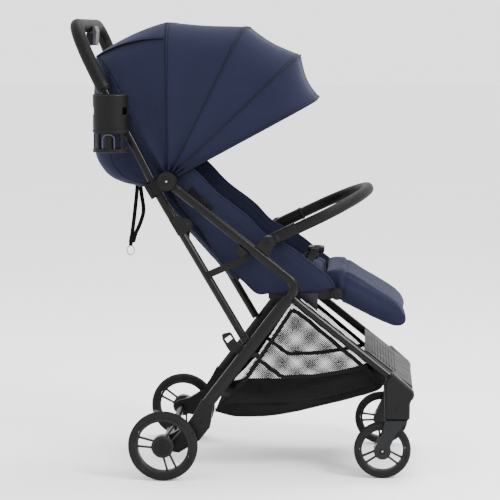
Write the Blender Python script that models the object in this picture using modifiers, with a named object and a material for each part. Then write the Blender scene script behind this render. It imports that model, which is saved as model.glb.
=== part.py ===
"""Compact folding baby stroller: side frames, push handle, four wheels, seat, canopy and basket.

Design frame: +X is the direction of travel, Y = 0 is the middle plane, the floor is Z = 0 and
X = 0 is halfway between the axles. Everything hangs from one empty, which moves the design frame
so that the model's origin is the bottom centre of its bounding box. Lengths are in metres.
"""

from math import atan2, cos, pi, radians, sin, tan

import bmesh
import bpy
from mathutils import Matrix, Vector

# ---- driving dimensions -------------------------------------------------------------------
GAP = 0.0003                    # clearance between pieces that touch
WHEELBASE = 0.477
REAR_WHEEL_RADIUS = 0.076       # 6 inch rear wheels
FRONT_WHEEL_RADIUS = 0.0622     # 5 inch front wheels
FOOT_WING_Y = 0.1580            # half the width over the foot plate's wings
REAR_AXLE = (-WHEELBASE / 2, REAR_WHEEL_RADIUS)
FRONT_AXLE = (WHEELBASE / 2, FRONT_WHEEL_RADIUS)
REAR_WHEEL_Y = 0.2275
FRONT_WHEEL_Y = 0.173
WHEEL_WIDTH = 0.022

# Planes of the frame, as distances from the middle plane
SIDE_Y = 0.204                  # armrest tubes and rear legs
PUSH_Y = 0.181                  # push tubes and lower struts
LEG_Y = 0.168                   # front legs
FABRIC_Y = 0.1505               # outer face of seat sides and basket
CANOPY_Y = 0.169                # outer face of the canopy's sides
PAD_Y = 0.137                   # half width of the seat, backrest and leg rest pads

# Points of the side view, as (x, z)
HUB = (-0.229, 0.652)           # canopy pivot at the top of the armrest tube
ELBOW = (0.054, 0.4267)         # where the armrest tube turns into the rear leg
REAR_LEG_TOP = (0.0336, 0.3996)
REAR_LEG_FOOT = (-0.1430, 0.1658)
KNUCKLE = (-0.190, 0.556)       # pivot of the push tubes
PUSH_LINE = (-0.2054, 0.5470)   # the push tube's axis beside the knuckle
PUSH_BEND = (-0.2471, 0.6178)
PUSH_TOP = (-0.3662, 0.8444)
STRUT_FOOT = (-0.0600, 0.3002)
HANDLE_BEND = (-0.4014, 0.9174)
HANDLE_TOP = (-0.4300, 0.9850)
LEG_PIVOT = (0.045, 0.3902)
LEG_FOOT = (0.2513, 0.2264)
SWIVEL_X = 0.270
SEAT_HINGE = (-0.055, 0.405)    # backrest hinge
LEG_REST_HINGE = (0.137, 0.4025)
BUMPER_PIVOT = (-0.010, 0.520)
BUMPER_ANGLE = radians(25.5)
BUMPER_REACH = 0.236
BUMPER_Y = 0.181
BUMPER_RADIUS = 0.0125

ARMREST_RADIUS = 0.0095
PUSH_RADIUS = 0.009
LEG_RADIUS = 0.0095
GRIP_RADIUS = 0.0148
ELBOW_RADIUS = 0.028
REAR_LEG_HALF = (0.01325, 0.009)

# Canopy bows: angle from the +X direction at the hub, and reach at the crown
BOWS = ((91.0, 0.339), (64.0, 0.367), (44.0, 0.384), (28.5, 0.362))
CANOPY_REAR = (123.8, 0.313)
REAR_LEAN = 5.0                 # degrees
CANOPY_FOOT = 0.034             # where the fabric starts, measured from the hub
BOW_STEP = 0.0026               # each bow's arms lie beside the next one's
BOW_THICKNESS = 0.0022
BOW_WIDTH = 0.008
FABRIC_THICKNESS = 0.0022

CUP_CENTRE = (-0.346, -0.2335)
CUP_BOTTOM = 0.716
CUP_TOP = 0.8375
CUP_RADIUS = 0.038
CUP_WALL = 0.0025

# Extremes of the whole model in the design frame
X_REAR = HANDLE_TOP[0] - GRIP_RADIUS
X_FRONT = 0.3066
Y_RIGHT = CUP_CENTRE[1] - CUP_RADIUS
Y_LEFT = REAR_WHEEL_Y + WHEEL_WIDTH / 2 + 0.003

SIDES = (("right", -1), ("left", 1))


# ---- scene and materials -------------------------------------------------------------------
def clear_scene():
    for obj in list(bpy.data.objects):
        bpy.data.objects.remove(obj)
    for name in ("stroller", "cutters"):
        collection = bpy.data.collections.new(name)
        bpy.context.scene.collection.children.link(collection)


def material(name, colour, roughness, metallic=0.0):
    found = bpy.data.materials.get(name)
    if found:
        return found
    made = bpy.data.materials.new(name)
    made.use_nodes = True
    shader = made.node_tree.nodes["Principled BSDF"]
    shader.inputs["Base Color"].default_value = (*colour, 1.0)
    shader.inputs["Roughness"].default_value = roughness
    shader.inputs["Metallic"].default_value = metallic
    return made


def black_tube():
    return material("black_powder_coat", (0.016, 0.016, 0.017), 0.42, 0.5)


def black_plastic():
    return material("black_plastic", (0.014, 0.014, 0.015), 0.5)


def slate_plastic():
    return material("slate_plastic", (0.040, 0.043, 0.048), 0.48)


def rim_plastic():
    return material("rim_plastic", (0.030, 0.030, 0.032), 0.4)


def tyre_foam():
    return material("tyre_foam", (0.010, 0.010, 0.011), 0.75)


def grip_foam():
    return material("grip_foam", (0.012, 0.012, 0.013), 0.65)


def navy_fabric():
    return material("navy_fabric", (0.026, 0.032, 0.075), 0.9)


def black_fabric():
    return material("black_fabric", (0.013, 0.013, 0.013), 0.92)


def steel():
    return material("steel", (0.55, 0.55, 0.56), 0.28, 1.0)


# ---- placing -------------------------------------------------------------------------------
def add_empty(name, point, parent=None):
    """A joint's empty. Its place is given in the design frame."""
    empty = bpy.data.objects.new(name, None)
    bpy.context.scene.collection.objects.link(empty)
    empty["place"] = tuple(point)
    above = Vector(parent["place"]) if parent else Vector((0, 0, 0))
    empty.location = Vector(point) - above
    empty.parent = parent
    return empty


def place(obj, name, finish, parent):
    """Name an object built in the design frame, and hang it from its joint's empty."""
    obj.name = name
    obj.data.name = name
    obj.data.materials.clear()
    obj.data.materials.append(finish)
    obj.parent = parent
    obj.matrix_parent_inverse = Matrix.Translation(-Vector(parent["place"]))
    for collection in list(obj.users_collection):
        collection.objects.unlink(obj)
    bpy.data.collections["stroller"].objects.link(obj)
    if obj.type == "MESH":
        obj.data.shade_smooth()
        obj.data.set_sharp_from_angle(angle=radians(35))
    return obj


def new_object(data):
    obj = bpy.data.objects.new("shape", data)
    bpy.context.scene.collection.objects.link(obj)
    return obj


def curve_to_mesh(obj):
    """Turn a curve object into a welded mesh in the same place."""
    graph = bpy.context.evaluated_depsgraph_get()
    mesh = bpy.data.meshes.new_from_object(obj.evaluated_get(graph))
    shape = bmesh.new()
    shape.from_mesh(mesh)
    bmesh.ops.remove_doubles(shape, verts=shape.verts, dist=1e-5)
    bmesh.ops.recalc_face_normals(shape, faces=shape.faces)
    shape.to_mesh(mesh)
    shape.free()
    made = new_object(mesh)
    made.matrix_world = obj.matrix_world.copy()
    bpy.data.objects.remove(obj)
    return made


# ---- shapes --------------------------------------------------------------------------------
def tube(points, radius, closed=False, rings=2):
    """A round bar along (x, y, z) points."""
    curve = bpy.data.curves.new("tube", "CURVE")
    curve.dimensions = "3D"
    curve.bevel_depth = radius
    curve.bevel_resolution = rings
    curve.use_fill_caps = True
    curve.render_resolution_u = 0
    spline = curve.splines.new("POLY")
    spline.points.add(len(points) - 1)
    for knot, point in zip(spline.points, points):
        knot.co = (*point, 1.0)
    spline.use_cyclic_u = closed
    return new_object(curve)


def rod(start, end, radius, sides=16):
    """A straight round bar between two points."""
    start, end = Vector(start), Vector(end)
    shape = bmesh.new()
    bmesh.ops.create_cone(
        shape,
        cap_ends=True,
        segments=sides,
        radius1=radius,
        radius2=radius,
        depth=(end - start).length,
    )
    turn = (end - start).to_track_quat("Z", "Y").to_matrix().to_4x4()
    bmesh.ops.transform(shape, matrix=Matrix.Translation((start + end) / 2) @ turn, verts=shape.verts)
    mesh = bpy.data.meshes.new("rod")
    shape.to_mesh(mesh)
    shape.free()
    return new_object(mesh)


def box(low, high):
    low, high = Vector(low), Vector(high)
    shape = bmesh.new()
    size = high - low
    bmesh.ops.create_cube(shape, size=1.0)
    bmesh.ops.scale(shape, vec=size, verts=shape.verts)
    bmesh.ops.translate(shape, vec=(low + high) / 2, verts=shape.verts)
    mesh = bpy.data.meshes.new("box")
    shape.to_mesh(mesh)
    shape.free()
    return new_object(mesh)


def plate(outline, y_low, y_high):
    """A side view outline of (x, z) points, extruded from y_low to y_high."""
    curve = bpy.data.curves.new("plate", "CURVE")
    curve.dimensions = "2D"
    curve.fill_mode = "BOTH"
    curve.extrude = abs(y_high - y_low) / 2
    spline = curve.splines.new("POLY")
    spline.points.add(len(outline) - 1)
    for knot, (x, z) in zip(spline.points, outline):
        knot.co = (x, z, 0.0, 1.0)
    spline.use_cyclic_u = True
    obj = new_object(curve)
    obj.matrix_world = Matrix.Translation((0, (y_low + y_high) / 2, 0)) @ Matrix.Rotation(pi / 2, 4, "X")
    bpy.context.view_layer.update()
    made = curve_to_mesh(obj)
    made.data.transform(made.matrix_world)
    made.matrix_world = Matrix.Identity(4)
    return made


def turned(profile, steps=32, phase=0.5):
    """A closed (radius, y) profile turned about the Y axis through the origin."""
    mesh = bpy.data.meshes.new("turned")
    corners = [(radius, 0.0, y) for radius, y in profile]
    edges = [(i, (i + 1) % len(corners)) for i in range(len(corners))]
    mesh.from_pydata(corners, edges, [])
    # the half step puts a flat facet at the bottom
    mesh.transform(Matrix.Rotation(2 * pi * phase / steps, 4, "Z"))
    obj = new_object(mesh)
    screw = obj.modifiers.new("turn", "SCREW")
    screw.axis = "Z"
    screw.steps = steps
    screw.render_steps = steps
    screw.use_merge_vertices = True
    screw.merge_threshold = 1e-5
    screw.use_normal_calculate = True
    return obj


def as_mesh(obj):
    """Apply an object's modifiers."""
    bpy.context.view_layer.update()
    graph = bpy.context.evaluated_depsgraph_get()
    mesh = bpy.data.meshes.new_from_object(obj.evaluated_get(graph))
    made = new_object(mesh)
    made.matrix_world = obj.matrix_world.copy()
    bpy.data.objects.remove(obj)
    return made


def bake_place(obj, matrix):
    """Move a mesh's points, so that its object stays at the design frame's origin."""
    obj.data.transform(matrix)
    return obj


def combine(obj, tools, operation):
    """Add or cut each tool. The tools stay in the file, hidden, as the design's history."""
    for tool in tools:
        change = obj.modifiers.new(operation.lower(), "BOOLEAN")
        change.operation = operation
        change.solver = "EXACT"
        change.object = tool
        tool.hide_render = True
        tool.display_type = "WIRE"
        for collection in list(tool.users_collection):
            collection.objects.unlink(tool)
        bpy.data.collections["cutters"].objects.link(tool)
    made = as_mesh(obj)
    for tool in tools:
        bpy.data.objects.remove(tool)
    return made


def fuse(obj, *tools):
    return combine(obj, tools, "UNION")


def cut(obj, *tools):
    return combine(obj, tools, "DIFFERENCE")


def soften(obj, width, segments=1):
    bevel = obj.modifiers.new("soft_edges", "BEVEL")
    bevel.width = width
    bevel.segments = segments
    bevel.limit_method = "ANGLE"
    bevel.angle_limit = radians(40)
    return obj


# ---- outlines ------------------------------------------------------------------------------
def along(start, direction, distance, across=0.0):
    """A point at a distance from start, in the side view; across is to the direction's left."""
    return (
        start[0] + distance * cos(direction) - across * sin(direction),
        start[1] + distance * sin(direction) + across * cos(direction),
    )


def heading(start, end):
    return atan2(end[1] - start[1], end[0] - start[0])


def arc(centre, radius, first, last, steps):
    """Points of a circle from angle first to last, in radians."""
    return [
        (centre[0] + radius * cos(first + (last - first) * i / steps),
         centre[1] + radius * sin(first + (last - first) * i / steps))
        for i in range(steps + 1)
    ]


def rounded(points, radius, steps=5):
    """An open (x, z) line with its inner corners rounded."""
    line = [points[0]]
    for before, corner, after in zip(points, points[1:], points[2:]):
        into = Vector((before[0] - corner[0], before[1] - corner[1])).normalized()
        out = Vector((after[0] - corner[0], after[1] - corner[1])).normalized()
        half = into.angle(out) / 2
        reach = radius / tan(half)
        start = Vector(corner) + into * reach
        end = Vector(corner) + out * reach
        centre = Vector(corner) + (into + out).normalized() * radius / sin(half)
        first, last = heading(centre, start), heading(centre, end)
        if last - first > pi:
            last -= 2 * pi
        if last - first < -pi:
            last += 2 * pi
        line += arc(centre, radius, first, last, steps)
    return line + [points[-1]]


def at_y(points, y):
    return [(x, y, z) for x, z in points]


# ---- side frames ---------------------------------------------------------------------------
PUSH_HEADING = heading(STRUT_FOOT, PUSH_BEND)
ARMREST_HEADING = heading(HUB, ELBOW)
LEG_HEADING = heading(LEG_PIVOT, LEG_FOOT)


def side_tubes(parent):
    for side, sign in SIDES:
        start = along(HUB, ARMREST_HEADING, 0.0215)
        line = rounded([start, ELBOW, REAR_LEG_TOP], ELBOW_RADIUS, 6)
        armrest = tube(at_y(line, sign * SIDE_Y), ARMREST_RADIUS)
        place(armrest, f"armrest_tube_{side}", black_tube(), parent)
        direction = heading(REAR_LEG_TOP, REAR_LEG_FOOT)
        top = along(REAR_LEG_TOP, direction, GAP)
        leg = rod((top[0], 0, top[1]), (REAR_LEG_FOOT[0], 0, REAR_LEG_FOOT[1]), REAR_LEG_HALF[0])
        # an oval bar, thinner across the stroller
        squash = REAR_LEG_HALF[1] / REAR_LEG_HALF[0]
        bake_place(leg, Matrix.Translation((0, sign * SIDE_Y, 0)) @ Matrix.Scale(squash, 4, (0, 1, 0)))
        place(leg, f"rear_leg_{side}", black_tube(), parent)


def hub_housings(parent):
    """A disc outside the push tube, a canopy pivot plate inside it, and a bridge behind it."""
    across = PUSH_HEADING - pi / 2
    for side, sign in SIDES:
        outer = plate(arc(HUB, 0.0205, 0, 2 * pi * 23 / 24, 23), sign * (PUSH_Y + 0.0095), sign * 0.2185)
        inner = plate(arc(HUB, 0.018, 0, 2 * pi * 23 / 24, 23), sign * 0.1658, sign * (PUSH_Y - 0.0095))
        back = along(HUB, across, -0.0328 - 0.017)
        front = along(HUB, across, -0.0328 - 0.0095)
        bridge = plate(
            [along(back, PUSH_HEADING, -0.018), along(front, PUSH_HEADING, -0.018),
             along(front, PUSH_HEADING, 0.018), along(back, PUSH_HEADING, 0.018)],
            sign * 0.1658, sign * 0.2005)
        arms = [
            plate(
                [along(back, PUSH_HEADING, -0.015), along(HUB, PUSH_HEADING, -0.015),
                 along(HUB, PUSH_HEADING, 0.015), along(back, PUSH_HEADING, 0.015)],
                sign * low, sign * high)
            for low, high in ((PUSH_Y + 0.0097, 0.1990), (0.1660, PUSH_Y - 0.0097))
        ]
        rivet = plate(arc(HUB, 0.006, 0, 2 * pi * 11 / 12, 11), sign * 0.2180, sign * 0.2200)
        housing = fuse(outer, arms[0], bridge, arms[1], inner, rivet)
        inlet = [along(HUB, ARMREST_HEADING, reach) for reach in (0.0210, 0.05)]
        clear = tube(at_y(inlet, sign * SIDE_Y), ARMREST_RADIUS + GAP)
        housing = cut(housing, curve_to_mesh(clear))
        place(housing, f"hub_housing_{side}", black_plastic(), parent)


def lower_struts(parent):
    """The lower half of each push tube, with the lug that carries the knuckle's pin."""
    for side, sign in SIDES:
        top = along(PUSH_LINE, PUSH_HEADING, -0.0006)
        low_end, high_end = at_y([STRUT_FOOT, top], sign * PUSH_Y)
        strut = rod(low_end, high_end, PUSH_RADIUS)
        lug = plate(
            arc(KNUCKLE, 0.0125, PUSH_HEADING - pi * 0.95, PUSH_HEADING - 0.05, 10)
            + [along(PUSH_LINE, PUSH_HEADING, 0.010), along(PUSH_LINE, PUSH_HEADING, -0.040)],
            sign * 0.1660, sign * 0.1712)
        neck = plate(
            [along(PUSH_LINE, PUSH_HEADING, -0.036, 0.004), along(PUSH_LINE, PUSH_HEADING, -0.036, -0.005),
             along(PUSH_LINE, PUSH_HEADING, -0.009, -0.006), along(PUSH_LINE, PUSH_HEADING, -0.009, 0.004)],
            sign * 0.1690, sign * 0.1760)
        foot = along(STRUT_FOOT, PUSH_HEADING, 0.006)
        boss = plate(arc(foot, 0.007, 0, 2 * pi * 11 / 12, 11), sign * PUSH_Y, sign * (SIDE_Y - 0.0095))
        strut = fuse(strut, neck, lug, boss)
        place(strut, f"lower_strut_{side}", black_tube(), parent)


def brace_links(parent):
    """A flat bar from the lower strut to a clamp under the armrest tube."""
    for side, sign in SIDES:
        low, high = (-0.1370, 0.4497), (-0.0530, 0.4868)
        direction = heading(low, high)
        bar = plate(
            arc(low, 0.0075, direction + pi / 2, direction + 3 * pi / 2, 6)
            + arc(high, 0.0075, direction - pi / 2, direction + pi / 2, 6),
            sign * (PUSH_Y + PUSH_RADIUS + GAP), sign * 0.1940)
        under = ARMREST_RADIUS + 2 * GAP
        seat = along(HUB, ARMREST_HEADING, 0.2190)
        outline = [along(seat, ARMREST_HEADING, reach, across)
                   for reach, across in ((-0.012, -under), (-0.012, -under - 0.018),
                                         (0.012, -under - 0.018), (0.012, -under))]
        clamp = plate(outline, sign * (PUSH_Y + PUSH_RADIUS + GAP), sign * 0.2120)
        place(fuse(bar, clamp), f"brace_link_{side}", black_plastic(), parent)


def rear_brackets(parent):
    """Plastic feet of the rear legs, each with a stub axle for its wheel."""
    direction = heading(REAR_LEG_TOP, REAR_LEG_FOOT)
    for side, sign in SIDES:
        top = along(REAR_LEG_FOOT, direction, GAP)
        foot = plate(
            [along(top, direction, 0.0, -0.0155), along(top, direction, 0.0, 0.0155),
             (-0.1370, 0.1150), (-0.1600, 0.0860), (-0.2050, 0.0580)]
            + arc(REAR_AXLE, 0.0195, radians(-50), radians(-230), 8)
            + [(-0.2200, 0.1000), (-0.1900, 0.1180), (-0.1720, 0.1440)],
            sign * 0.1935, sign * 0.2135)
        stub = plate(arc(REAR_AXLE, 0.006, 0, 2 * pi * 15 / 16, 15), sign * 0.2100,
                     sign * (REAR_WHEEL_Y + WHEEL_WIDTH / 2 - 0.002))
        place(fuse(foot, stub), f"rear_bracket_{side}", black_plastic(), parent)


def rear_axle(parent):
    x, z = REAR_AXLE
    beam = rod((x, -0.1935 + GAP, z), (x, 0.1935 - GAP, z), 0.008)
    place(beam, "rear_axle", black_tube(), parent)


def brake(parent):
    """A foot pedal on a sleeve that turns on the rear axle."""
    x, z = REAR_AXLE
    sleeve = turned([(0.0125, -0.045), (0.0125, 0.045), (0.0085, 0.045), (0.0085, -0.045)], 16)
    sleeve = bake_place(as_mesh(sleeve), Matrix.Translation((x, 0, z)) @ Matrix.Rotation(-pi / 2, 4, "X"))
    pedal = plate(
        [(x - 0.050, z + 0.020), (x - 0.048, z + 0.026), (x - 0.006, z + 0.0155), (x - 0.0085, z + 0.0055)],
        -0.038, 0.038)
    place(soften(fuse(sleeve, pedal), 0.001), "brake_pedal", slate_plastic(), parent)


def latch_hook(parent):
    """The hook that holds the folded frame, on the right strut only."""
    outline = [
        (-0.0540, 0.2880), (-0.0780, 0.2985), (-0.0845, 0.3090), (-0.0905, 0.3195), (-0.0945, 0.3225),
        (-0.1085, 0.3195), (-0.1122, 0.3160), (-0.1105, 0.3055), (-0.0985, 0.2850), (-0.0930, 0.2790),
        (-0.0600, 0.2740),
    ]
    inner, outer = -(PUSH_Y + PUSH_RADIUS + GAP), -(SIDE_Y - REAR_LEG_HALF[1] - GAP)
    hook = plate(outline, outer, inner)
    window = plate([(-0.1062, 0.3075), (-0.0935, 0.3160), (-0.0885, 0.3085), (-0.1000, 0.2985)],
                   outer - 0.005, inner + 0.005)
    place(cut(hook, window), "latch_hook", black_plastic(), parent)


def seat_rails(parent):
    for side, sign in SIDES:
        rail = plate(
            [(-0.0130, 0.3900), (0.1220, 0.3900), (0.1300, 0.3925)]
            + arc(LEG_REST_HINGE, 0.0115, radians(-90), radians(90), 6)
            + [(0.1220, 0.4120), (-0.0130, 0.4120)],
            sign * 0.1385, sign * 0.1480)
        knob = plate(arc(LEG_REST_HINGE, 0.0130, 0, 2 * pi * 15 / 16, 15), sign * 0.1475, sign * 0.1575)
        place(fuse(rail, knob), f"seat_rail_{side}", black_plastic(), parent)
    x, z = 0.095, 0.4005
    bar = rod((x, -0.1385 + GAP, z), (x, 0.1385 - GAP, z), 0.008)
    place(bar, "seat_crossbar", black_tube(), parent)


def bumper_clips(parent):
    for side, sign in SIDES:
        seat = along(HUB, ARMREST_HEADING, 0.2560)
        over = ARMREST_RADIUS + GAP
        clip = plate(
            [along(seat, ARMREST_HEADING, -0.020, over), along(seat, ARMREST_HEADING, 0.016, over)]
            + arc(BUMPER_PIVOT, 0.0150, radians(-25), radians(150), 8),
            sign * (BUMPER_Y + BUMPER_RADIUS + 0.0020), sign * 0.2125)
        place(clip, f"bumper_clip_{side}", black_plastic(), parent)


# ---- push handle ---------------------------------------------------------------------------
def push_tubes(parent):
    for side, sign in SIDES:
        start = along(PUSH_LINE, PUSH_HEADING, 0.0006)
        line = [start, PUSH_BEND, (-0.3015, 0.7232), PUSH_TOP]
        place(tube(at_y(line, sign * PUSH_Y), PUSH_RADIUS), f"push_tube_{side}", black_tube(), parent)


def knuckles(parent):
    """D-shaped covers on the push tubes, each with the pin that turns in the strut's lug."""
    for side, sign in SIDES:
        low, high = PUSH_Y + PUSH_RADIUS + GAP, 0.1942
        cover = plate(
            [along(PUSH_LINE, PUSH_HEADING, -0.012, 0.0085), along(PUSH_LINE, PUSH_HEADING, -0.016, -0.004)]
            + arc(KNUCKLE, 0.0150, PUSH_HEADING - 0.85 * pi, PUSH_HEADING - 0.25 * pi, 8)
            + [along(PUSH_LINE, PUSH_HEADING, 0.026, -0.010), along(PUSH_LINE, PUSH_HEADING, 0.028, 0.0085)],
            sign * low, sign * high)
        pin = plate(arc(KNUCKLE, 0.0045, 0, 2 * pi * 11 / 12, 11), sign * (PUSH_Y - 0.0090), sign * 0.1930)
        place(fuse(cover, pin), f"knuckle_{side}", black_plastic(), parent)


def handle(parent):
    """The foam grip, one loop over both push tubes."""
    bend = 0.045
    corner = PUSH_Y - bend
    rise = [(HANDLE_TOP[0] - HANDLE_BEND[0]), (HANDLE_TOP[1] - HANDLE_BEND[1])]
    half = [(PUSH_TOP[0], PUSH_Y, PUSH_TOP[1]), (HANDLE_BEND[0], PUSH_Y, HANDLE_BEND[1])]
    for i in range(1, 7):
        turn = (pi / 2) * i / 6
        up = 0.35 + 0.65 * sin(turn)
        half.append((HANDLE_BEND[0] + rise[0] * up, corner + bend * cos(turn), HANDLE_BEND[1] + rise[1] * up))
    start = along(PUSH_TOP, heading(PUSH_TOP, HANDLE_BEND), 4 * GAP)
    half[0] = (start[0], PUSH_Y, start[1])
    line = [(x, -y, z) for x, y, z in half] + [(x, y, z) for x, y, z in reversed(half)]
    place(tube(line, GRIP_RADIUS, rings=3), "handle_grip", grip_foam(), parent)


def fold_release(parent, lever_parent):
    """A housing under the crossbar, with the pull lever that unlocks the frame."""
    x, z = HANDLE_TOP
    housing = box((x + 0.0030, -0.034, z - 0.0440), (x + 0.0150, 0.034, z - GRIP_RADIUS - GAP))
    place(soften(housing, 0.002), "fold_housing", black_plastic(), parent)
    lever = plate(
        [(x + 0.0158, z - 0.0440), (x + 0.0220, z - 0.0440), (x + 0.0250, z - 0.0130),
         (x + 0.0210, z - 0.0010), (x + 0.0160, z - 0.0010), (x + 0.0158, z - 0.0120)],
        -0.026, 0.026)
    place(soften(lever, 0.001), "fold_lever", slate_plastic(), lever_parent)


def cup_holder(parent):
    x, y = CUP_CENTRE
    inside, floor = CUP_RADIUS - CUP_WALL, CUP_BOTTOM + CUP_WALL
    cup = turned([(CUP_RADIUS, CUP_TOP), (CUP_RADIUS, CUP_BOTTOM), (0.0005, CUP_BOTTOM), (0.0005, floor),
                  (inside, floor), (inside, CUP_TOP)], 24)
    cup = bake_place(as_mesh(cup), Matrix.Translation((x, y, 0)))
    deep = CUP_RADIUS + 0.010
    openings = [box((x - 0.014, y - deep, 0.7240), (x + 0.014, y + deep, 0.7560)),
                box((x - deep, y - 0.014, 0.7240), (x + deep, y + 0.014, 0.7560)),
                box((x - deep, y - 0.014, 0.7960), (x + deep, y + 0.014, 0.8120))]
    place(cut(cup, *openings), "cup_holder", black_plastic(), parent)
    block = box((x - 0.006, y + CUP_RADIUS - 0.006, 0.7640), (x + 0.036, -PUSH_Y + 0.0105, 0.7920))
    hollow = rod((x, y, 0.75), (x, y, 0.80), CUP_RADIUS / cos(pi / 24) + GAP, sides=24)
    bore = rod((-0.3015, -PUSH_Y, 0.7232), (PUSH_TOP[0], -PUSH_Y, PUSH_TOP[1]), PUSH_RADIUS + 0.0005, sides=8)
    place(cut(block, hollow, bore), "cup_clamp", black_plastic(), parent)


# ---- front frame ---------------------------------------------------------------------------
def front_legs(parent):
    for side, sign in SIDES:
        start = along(LEG_PIVOT, LEG_HEADING, -0.010)
        leg = rod((start[0], sign * LEG_Y, start[1]), (LEG_FOOT[0], sign * LEG_Y, LEG_FOOT[1]), LEG_RADIUS)
        pin = plate(arc(LEG_PIVOT, 0.005, 0, 2 * pi * 11 / 12, 11), sign * LEG_Y, sign * (SIDE_Y - 0.0100))
        place(fuse(leg, pin), f"front_leg_{side}", black_tube(), parent)
        top = along(LEG_FOOT, LEG_HEADING, GAP)
        casting = plate(
            [along(top, LEG_HEADING, 0, -0.0125), (0.2425, 0.1926), (0.2430, 0.1310), (0.2975, 0.1310),
             (0.2980, 0.1722), (0.3050, 0.1795), (X_FRONT, 0.1850), (X_FRONT, 0.1900), (0.3020, 0.1975),
             (0.2736, 0.2225), along(top, LEG_HEADING, 0, 0.0125)],
            sign * (FRONT_WHEEL_Y - 0.020), sign * (FRONT_WHEEL_Y + 0.020))
        place(soften(casting, 0.004), f"swivel_housing_{side}", black_plastic(), parent)


def foot_plate(parent):
    outline = [
        (0.1980, 0.2800), (0.1980, 0.2620), (0.2850, 0.1920), (0.2900, 0.1720), (0.3030, 0.1720),
        (0.3030, 0.1990), (0.2720, 0.2235), (0.2090, 0.2735),
    ]
    # wings reach out to the legs above the swivel housings
    wings = plate([(0.2000, 0.2760), (0.2000, 0.2640), (0.2380, 0.2320), (0.2380, 0.2470), (0.2090, 0.2700)],
                  -FOOT_WING_Y, FOOT_WING_Y)
    place(fuse(plate(outline, -FABRIC_Y, FABRIC_Y), wings), "foot_plate", slate_plastic(), parent)


def forks(parents):
    for side, sign in SIDES:
        y = sign * FRONT_WHEEL_Y
        outline = [
            (0.2440, 0.1300), (0.2900, 0.1300), (0.2880, 0.1240), (0.2680, 0.1000)
        ] + arc(FRONT_AXLE, 0.0190, radians(30), radians(-190), 8) + [(0.2370, 0.1000)]
        cheeks = [plate(outline, y + out * 0.0135, y + out * 0.0185) for out in (-1, 1)]
        bridge = box((0.2440, y - 0.0180, 0.1262), (0.2900, y + 0.0180, 0.1303))
        pin = plate(arc(FRONT_AXLE, 0.0045, 0, 2 * pi * 11 / 12, 11), y - 0.0150, y + 0.0150)
        fork = fuse(bridge, cheeks[0], cheeks[1], pin)
        place(fork, f"caster_fork_{side}", slate_plastic(), parents[side])


# ---- wheels --------------------------------------------------------------------------------
def wheel(place_name, centre, radius, first_spoke, parent):
    """A foam tyre on a rim with three pairs of parallel spokes, the first pair at an angle in degrees."""
    x, y, z = centre
    half = WHEEL_WIDTH / 2
    tread = radius / cos(pi / 32)
    bead = 0.80 * radius
    here = Matrix.Translation((x, y, z)) @ Matrix.Rotation(-pi / 2, 4, "X")
    profile = [(tread, 0.5 * half), (tread, -0.5 * half), (0.95 * tread, -0.95 * half), (bead, -half),
               (bead, half), (0.95 * tread, 0.95 * half)]
    tyre = bake_place(as_mesh(turned(profile, 32)), here)
    end, side = place_name
    place(tyre, f"{end}_tyre_{side}", tyre_foam(), parent)
    lip = half - 0.001
    outer, inner = bead * cos(pi / 32) - GAP, 0.73 * radius
    band = as_mesh(turned([(outer, lip), (outer, -lip), (inner, -lip), (inner, lip)], 24))
    hub_lip = half + 0.003 if radius == REAR_WHEEL_RADIUS else half
    bore = 0.0068 if radius == REAR_WHEEL_RADIUS else 0.0052
    hub_radius = 0.30 * radius
    hub = as_mesh(turned([(hub_radius, hub_lip), (hub_radius, -half), (bore, -half), (bore, hub_lip)], 16))
    spokes = bmesh.new()
    for turn in (first_spoke, first_spoke + 120, first_spoke + 240):
        for offset in (-0.0080, 0.0080):
            made = bmesh.ops.create_cube(spokes, size=1.0)["verts"]
            reach = (0.24 * radius, inner + 0.0015)
            bmesh.ops.scale(spokes, vec=(reach[1] - reach[0], 0.0040, 0.0100), verts=made)
            bmesh.ops.translate(spokes, vec=((reach[0] + reach[1]) / 2, offset, 0), verts=made)
            turned_way = Matrix.Rotation(radians(-turn), 3, "Z")
            bmesh.ops.rotate(spokes, cent=(0, 0, 0), matrix=turned_way, verts=made)
    spoke_mesh = bpy.data.meshes.new("spokes")
    spokes.to_mesh(spoke_mesh)
    spokes.free()
    rim = bake_place(fuse(band, new_object(spoke_mesh), hub), here)
    place(rim, f"{end}_rim_{side}", rim_plastic(), parent)


# ---- bumper bar ----------------------------------------------------------------------------
def bumper(parent):
    """A foam covered hoop in front of the seat, in a plane that rises from the armrests."""
    straight = 0.105
    bow = BUMPER_REACH - straight

    def point(reach, y):
        x, z = along(BUMPER_PIVOT, BUMPER_ANGLE, reach)
        return (x, y, z)

    line = [point(0.0, -BUMPER_Y)]
    for i in range(15):
        turn = pi * i / 14
        line.append(point(straight + bow * sin(turn), -BUMPER_Y * cos(turn)))
    line.append(point(0.0, BUMPER_Y))
    place(tube(line, BUMPER_RADIUS), "bumper_bar", grip_foam(), parent)


# ---- soft goods ----------------------------------------------------------------------------
def canopy_reach(angle):
    """The crown's distance from the hub: at each bow's own reach, and hollow between bows."""
    stations = (CANOPY_REAR, *BOWS)
    for (first, first_reach), (last, last_reach) in zip(stations, stations[1:]):
        if last - 1e-6 <= angle <= first + 1e-6:
            share = (first - angle) / (first - last)
            sag = 0.012 * sin(pi * share) if first < 100 else 0.0
            return first_reach + (last_reach - first_reach) * share - sag
    return CANOPY_REAR[1]


def hoop(half_width, reach, foot, steps=5):
    """Half of an arched hoop as (y, distance from the hub), from the foot to the crown."""
    shoulder_y, shoulder_r = 0.075, 0.075
    points = [(half_width, foot), (half_width, reach - shoulder_r)]
    for i in range(1, steps + 1):
        turn = (pi / 2) * i / steps
        points.append((half_width - shoulder_y * (1 - cos(turn)), reach - shoulder_r * (1 - sin(turn))))
    return points[:-1] + [(half_width - shoulder_y, reach - 0.0005), (0.0, reach)]


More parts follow.
